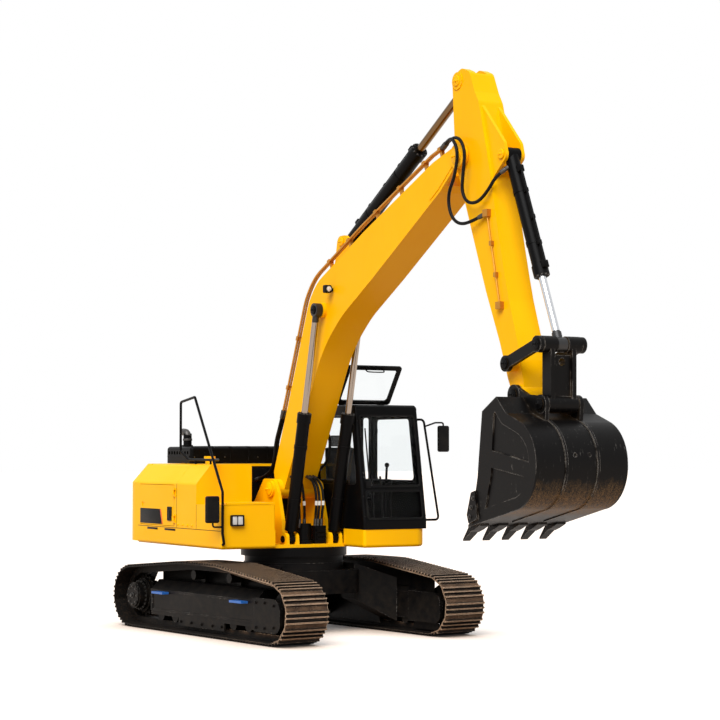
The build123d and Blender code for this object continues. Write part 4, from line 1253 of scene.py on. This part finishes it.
@dataclass
class Seat:
    """The driver's seat: crowned cloth cushions on a plastic base with bellows."""

    middle: float = 0.865
    half: float = 0.225
    lean: float = -5.0
    seat: tuple[Pair, Pair] = ((-0.25, 1.7), (0.25, 1.84))
    back: tuple[Pair, Pair] = ((-0.345, 1.8), (-0.215, 2.38))
    headrest: tuple[Pair, Pair] = ((-0.36, 2.39), (-0.27, 2.54))
    headrest_half: float = 0.13
    base_half: float = 0.15
    foot_x: Pair = (-0.2, 0.16)
    foot_z: Pair = (1.402, 1.47)
    bellows_x: Pair = (-0.19, 0.15)
    bellows_z: float = 1.462
    folds: int = 6
    fold: float = 0.036
    fold_overlap: float = 0.002
    inset: float = 0.012
    tray_x: Pair = (-0.22, 0.2)
    tray_z: Pair = (1.672, 1.706)
    tray_rim: float = 0.04

    def build(self) -> None:
        """Makes the cushions and the base."""
        lean = Matrix.Rotation(math.radians(self.lean), 4, "Y")
        seat = self.cushion("seat_cushion", *self.seat, self.half, Matrix())
        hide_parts("cab_seat")
        self.cushion("seat_back", *self.back, self.half - 0.01, lean)
        self.cushion("seat_headrest", *self.headrest, self.headrest_half, lean)
        self.base()

    def base(self) -> None:
        """Makes the foot, the bellows and the tray under the cushion."""
        rows = [(self.foot_x, self.foot_z, 0.0, 0.012)]
        for number in range(self.folds):
            inset = self.inset * (1 + number % 2)
            z = self.bellows_z + self.fold * number
            x = (self.bellows_x[0] + inset, self.bellows_x[1] - inset)
            rows.append((x, (z, z + self.fold + self.fold_overlap), -inset, 0.012))
        rows.append((self.tray_x, self.tray_z, self.tray_rim, 0.01))
        build = Build("seat_base")
        for x, z, wider, bevel in rows:
            half = self.base_half + wider
            build.box((x[0], self.middle - half, z[0]), (x[1], self.middle + half, z[1]), bevel)
        build.done(Body.UPPER, PLASTIC)

    def cushion(self, name: str, low: Pair, high: Pair, half: float, turn: Matrix) -> bpy.types.Object:
        """Makes one padded cushion.

        Args:
            name: The cushion's name.
            low: Its lowest place along and up.
            high: Its highest place along and up.
            half: Half its width.
            turn: How it leans.

        Returns:
            The cushion.
        """
        build = Build(name)
        bmesh.ops.create_cube(build.mesh, size=2.0)
        bmesh.ops.subdivide_edges(build.mesh, edges=build.mesh.edges[:], cuts=9, use_grid_fill=True)
        size = ((high[0] - low[0]) / 2, half, (high[1] - low[1]) / 2)
        middle = Vector(((high[0] + low[0]) / 2, self.middle, (high[1] + low[1]) / 2))
        thin = size.index(min(size))
        for vert in build.mesh.verts:
            flat = [value for axis, value in enumerate(vert.co) if axis != thin]
            crown = (1 - flat[0] ** 4) * (1 - flat[1] ** 4)
            channel = 0.1 * math.exp(-((abs(vert.co.y) - 0.62) / 0.07) ** 2) * crown
            edge = 1 - 0.06 * abs(vert.co[thin]) ** 2 - 0.025 * (1 - max(abs(flat[0]), abs(flat[1])))
            share = [edge, edge, edge]
            share[thin] = 0.72 + 0.28 * crown - channel
            place = Vector([value * size[axis] * share[axis] for axis, value in enumerate(vert.co)])
            vert.co = middle + turn @ place
        axes = {f"use_axis_{axis}": True for axis in "xyz"}
        bmesh.ops.smooth_vert(build.mesh, verts=build.mesh.verts[:], factor=0.5, **axes)
        piece = build.done(Body.UPPER, CLOTH)
        return piece


@dataclass
class Lamps:
    """Lenses and bezels of the work lamps."""

    face: float = 0.65
    bezel_y: Pair = (-1.24, -1.06)
    bezel_z: Pair = (1.39, 1.53)
    bezel_width: float = 0.016
    bezel_lift: float = 0.012
    bar: Span = ((0.648, -1.153, 1.4), (0.662, -1.147, 1.52))
    lenses: Sequence[Pair] = ((-1.222, -1.156), (-1.144, -1.078))
    lens_z: Pair = (1.408, 1.512)
    lens_thick: float = 0.009
    boom_lamp: Point = (1.449, -0.2975, 4.34)
    rim: Sequence[Pair] = ((0.036, 0.0), (0.036, 0.012), (0.044, 0.014), (0.046, 0.008), (0.046, -0.004))
    dish: Sequence[Pair] = ((0.0, 0.012), (0.012, 0.0115), (0.026, 0.009), (0.037, 0.004), (0.037, -0.003))

    def build(self) -> None:
        """Makes the lamp on the tool box and the lamp on the boom."""
        bezel = Build("tool_box_lamp_bezel")
        corners = [(self.face, *spot) for spot in rectangle(self.bezel_y, self.bezel_z)]
        bezel.ring(corners, 0.012, self.bezel_width, (self.bezel_lift, 0.0, 0.0))
        bezel.box(*self.bar, 0.002)
        bezel.done(Body.UPPER, PLASTIC)
        lens = Build("tool_box_lamp_lens")
        for y in self.lenses:
            corners = [(self.face - 0.001, *spot) for spot in rectangle(y, self.lens_z)]
            lens.prism(corners, (self.lens_thick, 0.0, 0.0), 0.004, 0.01)
        lens.done(Body.UPPER, LENS)
        for name, profile, finish in (("rim", self.rim, PLASTIC), ("lens", self.dish, LENS)):
            build = Build(f"boom_lamp_{name}")
            build.lathe(profile, self.boom_lamp, (1.0, 0.0, 0.0))
            build.done(Body.BOOM, finish)


@dataclass
class HouseFittings:
    """Latches, plain stripe, exhaust mouth, bolts, slots and seams on the engine house and the deck."""

    side: float = 1.362
    door: float = 1.364
    seam_z: Pair = (1.3275, 1.3345)
    seam_x: Pair = (-0.6885, -0.6815)
    house_z: Pair = (1.34, 1.905)
    tank_seam: tuple[Pair, Pair] = ((-0.1, -0.093), (1.34, 1.65))
    # Black panels in the recess behind the boom's foot: painted shade.
    bulkheads: Sequence[Span] = (
        ((-0.692, -0.56, 1.42), (-0.682, -0.345, 2.13)), ((-0.692, -0.285, 1.42), (-0.682, 0.4, 2.13)),
    )
    louvre: Span = ((-0.684, -0.545, 1.45), (-0.672, -0.36, 1.47))
    louvres: int = 14
    louvre_pitch: float = 0.048
    stripe_z: Pair = (1.368, 1.566)
    stripe_x: Sequence[float] = (-1.826, -1.14, -1.2, -1.826)
    stripe_edge_x: Sequence[float] = (-1.134, -1.104, -1.164, -1.194)
    stripe_thick: float = 0.003
    latch_rim: tuple[Pair, Pair] = ((-0.952, -0.826), (1.42, 1.602))
    latch_plate: tuple[Pair, Pair] = ((-0.94, -0.838), (1.432, 1.59))
    latch_grip: tuple[Pair, Pair] = ((-0.916, -0.862), (1.452, 1.556))
    exhaust: Pair = (-1.546, -0.8)
    exhaust_bend: Sequence[Pair] = ((0.0, 2.44), (0.0, 2.52), (-0.014, 2.575), (-0.074, 2.59), (-0.154, 2.59))
    exhaust_radius: float = 0.048
    collar_z: Pair = (2.47, 2.5)
    collar_radius: float = 0.064
    hood_bolts: Sequence[float] = (-0.9, -0.45, 0.05, 0.5, 0.95)
    hood_rim: Pair = (-1.126, 2.25)
    tank_bolts: Sequence[float] = (-0.64, -0.5, -0.36, -0.22)
    tank_bolt_z: float = 1.375
    bolt_radius: float = 0.011
    slot_x: Pair = (-1.6, -1.05)
    slot_length: float = 0.33
    slot_z: Pair = (1.292, 1.318)

    def build(self) -> None:
        """Makes every fitting of the house."""
        self.stripe()
        self.latches()
        self.exhaust_mouth()
        self.bolts()
        self.slots()
        self.seams()
        self.bulkhead()

    def seams(self) -> None:
        """Makes the dark joints between the panels of the right and left sides."""
        build = Build("panel_seams")
        rows = (
            (1, (-1.9, -0.64), self.seam_z), (1, self.seam_x, self.house_z), (-1, (-1.9, 0.6), self.seam_z),
            (-1, self.seam_x, self.house_z), (-1, *self.tank_seam),
        )
        for side, x, z in rows:
            build.panel(side, (self.side - 0.002, self.side + 0.0015), x, z, 0.0005)
        build.done(Body.UPPER, RUBBER)

    def bulkhead(self) -> None:
        """Makes black panels behind the boom's foot, one of them louvred: painted shade in the recess there.
        """
        build = Build("bulkhead_painted_shade")
        for panel in self.bulkheads:
            build.box(*panel, 0.003)
        for number in range(self.louvres):
            rise = Vector((0.0, 0.0, self.louvre_pitch * number))
            low, high = (tuple(Vector(corner) + rise) for corner in self.louvre)
            build.box(low, high, 0.004)
        build.done(Body.UPPER, BLACK)

    def stripe(self) -> None:
        """Makes the plain dark stripe with its orange edge on the right-hand door."""
        low, high = self.stripe_z
        rows = (("plain_stripe", self.stripe_x, PLASTIC), ("stripe_edge", self.stripe_edge_x, ORANGE))
        for name, places, finish in rows:
            build = Build(name)
            corners = [(x, -self.door, z) for x, z in zip(places, (low, low, high, high))]
            build.prism(corners, (0.0, -self.stripe_thick, 0.0), 0.001)
            build.done(Body.PUMP_DOOR, finish)

    def latches(self) -> None:
        """Makes the latch plates on both side doors."""
        door = self.door
        for body, side in ((Body.PUMP_DOOR, -1), (Body.RADIATOR_DOOR, 1)):
            build = Build(f"{body.value}_latch")
            corners = [(x, side * door, z) for x, z in rectangle(*self.latch_rim)]
            build.ring(corners, 0.012, 0.018, (0.0, side * 0.012, 0.0))
            build.panel(side, (door, door + 0.006), *self.latch_plate, 0.002)
            build.panel(side, (door + 0.004, door + 0.014), *self.latch_grip, 0.004)
            build.done(body, PLASTIC)

    def exhaust_mouth(self) -> None:
        """Makes the bent mouth of the exhaust and its collar."""
        x, y = self.exhaust
        build = Build("exhaust_mouth")
        build.pipe([(x + back, y, z) for back, z in self.exhaust_bend], self.exhaust_radius)
        low, high = ((x, y, z) for z in self.collar_z)
        build.rod(low, high, self.collar_radius, 24, 0.004)
        build.done(Body.ENGINE_HOOD, STEEL)

    def bolts(self) -> None:
        """Makes the bolts along the hood's rim and the tank."""
        hood, (x, z) = Build("hood_bolts"), self.hood_rim
        for y in self.hood_bolts:
            hood.bolt((x, y, z), (1, 0, 0), self.bolt_radius)
        hood.done(Body.ENGINE_HOOD, STEEL)
        tank = Build("tank_bolts")
        for x in self.tank_bolts:
            tank.bolt((x, -self.side, self.tank_bolt_z), (0, -1, 0), self.bolt_radius)
        tank.done(Body.UPPER, YELLOW)

    def slots(self) -> None:
        """Makes the dark drain slots in the skirt."""
        build = Build("skirt_slots")
        for side in SIDES:
            for x in self.slot_x:
                span = (x, x + self.slot_length)
                build.panel(side, (self.side, self.side + 0.003), span, self.slot_z, 0.001)
        build.done(Body.UPPER, PLASTIC)


@dataclass
class Undercarriage:
    """Bolts of the final drives, the idler covers and the track guards, and black plates in the gaps of the
    track frames, which are painted shade.
    """

    turn: float = 5.0
    half_gauge: float = 1.19
    hub: Pair = (-1.755, 0.41)
    hub_rings: Sequence[tuple[float, float, int, float]] = (
        (0.12, 0.184, 20, 0.012), (0.225, 0.118, 8, 0.013),
    )
    hub_face: float = 0.225
    hub_plug: float = 0.026
    cover: Sequence[Pair] = ((1.31, 0.2), (1.31, 0.5), (1.5, 0.2), (1.5, 0.505), (1.7, 0.22), (1.7, 0.48))
    cover_face: float = 0.222
    guard_x: Sequence[float] = (-0.56, -0.3, -0.04, 0.22, 0.44)
    guard_z: float = 0.14
    guard_face: float = 0.175
    guard_bolt: float = 0.015
    # Black plates that close the gaps between the track frames and the chains: painted shade where those gaps
    # lie in shadow.
    painted_shade_plates: Sequence[Sequence[Pair]] = (
        ((-1.56, 0.6), (1.1, 0.6), (1.1, 0.5), (1.64, 0.5), (1.64, 0.725), (1.22, 0.776), (0.45, 0.866),
         (-0.42, 0.866), (-1.56, 0.776)),
        ((1.2, 0.06), (1.72, 0.06), (1.72, 0.2), (1.2, 0.2)),
    )
    painted_shade_inset: float = 0.137
    painted_shade_thick: float = 0.008

    def build(self) -> None:
        """Makes the bolts and the black plates of painted shade, turned with the tracks."""
        hubs, plates, painted_shade = Build("drive_hub_bolts"), Build("track_guard_bolts"), Build("frame_painted_shade_plates")
        guard = [(x, self.guard_z) for x in self.guard_x]
        for side in SIDES:
            for ring in self.hub_rings:
                self.wheel(hubs, side, *ring)
            self.row(hubs, side, self.hub_face, [self.hub], self.hub_plug)
            self.row(plates, side, self.cover_face, self.cover, self.guard_bolt)
            self.row(plates, side, self.guard_face, guard, self.guard_bolt)
            y = side * (self.half_gauge - self.painted_shade_inset)
            # Black plates of painted shade in the frame's gaps.
            for plate in self.painted_shade_plates:
                painted_shade.prism([(x, y, z) for x, z in plate], (0.0, side * self.painted_shade_thick, 0.0), 0.001)
        for build, finish in ((hubs, STEEL), (plates, BLACK), (painted_shade, BLACK)):
            self.lay(build, finish)

    def row(self, build: Build, side: int, out: float, places: Sequence[Pair], size: float) -> None:
        """Adds bolts on an upright face of one track."""
        for x, z in places:
            build.bolt((x, side * (self.half_gauge + out), z), (0, side, 0), size)

    def wheel(self, build: Build, side: int, out: float, radius: float, count: int, size: float) -> None:
        """Adds a ring of bolts on a hub.

        Args:
            build: The piece that it joins.
            side: Side of the machine.
            out: How far out of the track's middle the face lies.
            radius: Radius of the ring.
            count: How many bolts there are.
            size: Radius of a head.
        """
        x, z = self.hub
        angles = [math.tau * number / count for number in range(count)]
        places = [(x + radius * math.cos(angle), z + radius * math.sin(angle)) for angle in angles]
        self.row(build, side, out, places, size)

    def lay(self, build: Build, finish: Any) -> None:
        """Turns a piece with the tracks and ends it.

        Args:
            build: The piece in the making.
            finish: Its finish.
        """
        turn = Matrix.Rotation(math.radians(self.turn), 3, "Z")
        bmesh.ops.rotate(build.mesh, cent=(0, 0, 0), matrix=turn, verts=build.mesh.verts)
        build.done(Body.UNDERCARRIAGE, finish)


TIP_SPAN = ((4.0, 0.0, 5.74), (4.62, 0.0, 4.95))
TIP_SPAN_FAR = ((4.05, 0.0, 5.75), (4.85, 0.0, 5.2))
FOOT_SPAN = ((0.08, 0.0, 2.62), (-0.5, 0.0, 1.95))
DECK_SPAN = ((0.47, 0.0, 1.5), (0.3, 0.0, 2.02))
FOOT_HOSES = (("outer", -0.224), ("inner", -0.19))
DECK_HOSES = (-0.17, -0.1, 0.06, 0.1, 0.15)
DECK_RADIUS = 0.017

HOSES: Sequence[Hose] = (
    Hose("tip_hose_near", (
        (3.94, -0.224, 5.774), (4.1, -0.25, 5.84), (4.26, -0.285, 5.83), (4.37, -0.29, 5.66),
        (4.31, -0.295, 5.4), (4.17, -0.3, 5.2), (4.225, -0.3, 4.96), (4.39, -0.285, 4.84),
        (4.61, -0.24, 4.87), (4.757, -0.192, 4.935),
    ), Body.BOOM, Body.ARM, TIP_SPAN),
    Hose("tip_hose_far", (
        (3.94, -0.198, 5.774), (4.12, -0.225, 5.86), (4.36, -0.262, 5.83), (4.485, -0.27, 5.66),
        (4.44, -0.27, 5.42), (4.41, -0.27, 5.22), (4.5, -0.262, 5.08), (4.68, -0.24, 5.06),
        (4.85, -0.215, 5.175), (4.95, -0.17, 5.34), (5.045, -0.085, 5.42),
    ), Body.BOOM, Body.ARM, TIP_SPAN_FAR),
    *(Hose(f"foot_hose_{name}", (
        (0.118, y, 2.845), (0.03, y, 2.66), (-0.09, y, 2.45), (-0.115, y, 2.25), (-0.2, y + 0.01, 2.1),
        (-0.4, y + 0.02, 2.0), (-0.69, y + 0.02, 1.95),
    ), Body.BOOM, Body.UPPER, FOOT_SPAN) for name, y in FOOT_HOSES),
    *(Hose(f"deck_hose_{number}", (
        (0.46, y, 1.36), (0.475, y, 1.5), (0.49, y * 1.15, 1.68), (0.45, y * 1.15, 1.86), (0.37, y, 1.97),
        (0.24, y, 2.0),
    ), Body.UPPER, Body.BOOM, DECK_SPAN, DECK_RADIUS, (0.3,)) for number, y in enumerate(DECK_HOSES)),
    Hose("side_hose", (
        (0.4, 0.218, 2.64), (0.43, 0.26, 2.6), (0.48, 0.275, 2.45), (0.45, 0.275, 2.27),
        (0.33, 0.265, 2.12), (0.2, 0.219, 2.06),
    ), Body.BOOM),
)


@dataclass
class Studio:
    """White floor and sky, soft sun and the photograph's camera."""

    camera_at: Point = (22.7796, -12.3583, 2.2929)
    yaw: float = 149.689
    pitch: float = 2.615
    lens: float = 98.95
    sensor: float = 36.0
    shift: Pair = (0.0039, 0.0048)
    sight: float = 1000.0
    sun_from: Point = (6.0, -6.4, 9.0)
    sun: float = 3.9
    sun_angle: float = 46.0
    sky: float = 0.4
    floor_size: float = 400.0
    floor_tone: Colour = (0.46, 0.34, 0.25)
    floor_glow: float = 0.84
    painted_shadow_reach: float = 0.95

    def build(self) -> None:
        """Places the floor, the lights and the camera."""
        self.floor()
        self.light()
        self.camera()

    def seen(self, graph: Graph) -> Wire:
        """Tells rays from the camera, in gloss and through glass from the lighting rays.

        Args:
            graph: The tree that asks.

        Returns:
            One for the first kinds, zero for lighting rays.
        """
        kinds = ("Is Camera Ray", "Is Glossy Ray", "Is Transmission Ray")
        first, second, third = (graph.add("ShaderNodeLightPath", {}, {}, kind) for kind in kinds)
        return first.top(second).top(third)

    def floor(self) -> None:
        """Makes the pale floor, which keeps the machine's shadow, with a painted contact shadow where its
        glow is dimmed near the machine.
        """
        mesh = bmesh.new()
        bmesh.ops.create_grid(mesh, x_segments=1, y_segments=1, size=self.floor_size / 2)
        data = bpy.data.meshes.new("floor")
        mesh.to_mesh(data)
        mesh.free()
        graph = Graph("floor_white")
        pale = graph.add("ShaderNodeBsdfDiffuse", {}, {"Color": (*self.floor_tone, 1.0)})
        # The glow fades where ambient occlusion finds the machine close by: a painted contact shadow.
        shade = graph.corners(self.painted_shadow_reach).ramp(0.06, 0.7, self.floor_glow, 0.02)
        glow = graph.add("ShaderNodeEmission", {}, {"Strength": self.seen(graph) * shade})
        graph.add_output(graph.add("ShaderNodeAddShader", {}, {0: pale, 1: glow}))
        data.materials.append(graph.owner)
        placed("floor", data)

    def light(self) -> None:
        """Makes the sky and the soft sun."""
        graph = Graph("studio", bpy.data.worlds)
        level = self.seen(graph).ramp(0.0, 1.0, self.sky, 1.0)
        back = graph.add("ShaderNodeBackground", {}, {"Color": (1.0, 1.0, 1.0, 1.0), "Strength": level})
        graph.add_output(back, "ShaderNodeOutputWorld")
        bpy.context.scene.world = graph.owner
        data = bpy.data.lights.new("sun", "SUN")
        data.energy = self.sun
        data.angle = math.radians(self.sun_angle)
        placed("sun", data).rotation_euler = Vector(self.sun_from).to_track_quat("Z", "Y").to_euler()

    def camera(self) -> None:
        """Sets the camera where the photograph was taken."""
        data = bpy.data.cameras.new("camera")
        data.lens = self.lens
        data.sensor_width = self.sensor
        data.shift_x, data.shift_y = self.shift
        data.clip_end = self.sight
        yaw, pitch = math.radians(self.yaw), math.radians(self.pitch)
        look = Vector((math.cos(yaw) * math.cos(pitch), math.sin(yaw) * math.cos(pitch), math.sin(pitch)))
        camera = placed("camera", data)
        camera.rotation_euler = look.to_track_quat("-Z", "Y").to_euler()
        camera.location = self.camera_at
        bpy.context.scene.camera = camera


def main() -> None:
    """Builds the studio and dresses the machine."""
    logging.basicConfig(level=logging.INFO, format="%(message)s")
    bpy.context.scene.view_settings.view_transform = "Standard"
    Studio().build()
    FINISHER.dress_nodes(NODE_FINISHES)
    for hose in HOSES:
        hose.build()
    for part in (PinCaps, Rams, BucketFittings, CabFittings, Seat, Lamps, HouseFittings, Undercarriage):
        part().build()


if __name__ == "__main__":
    main()
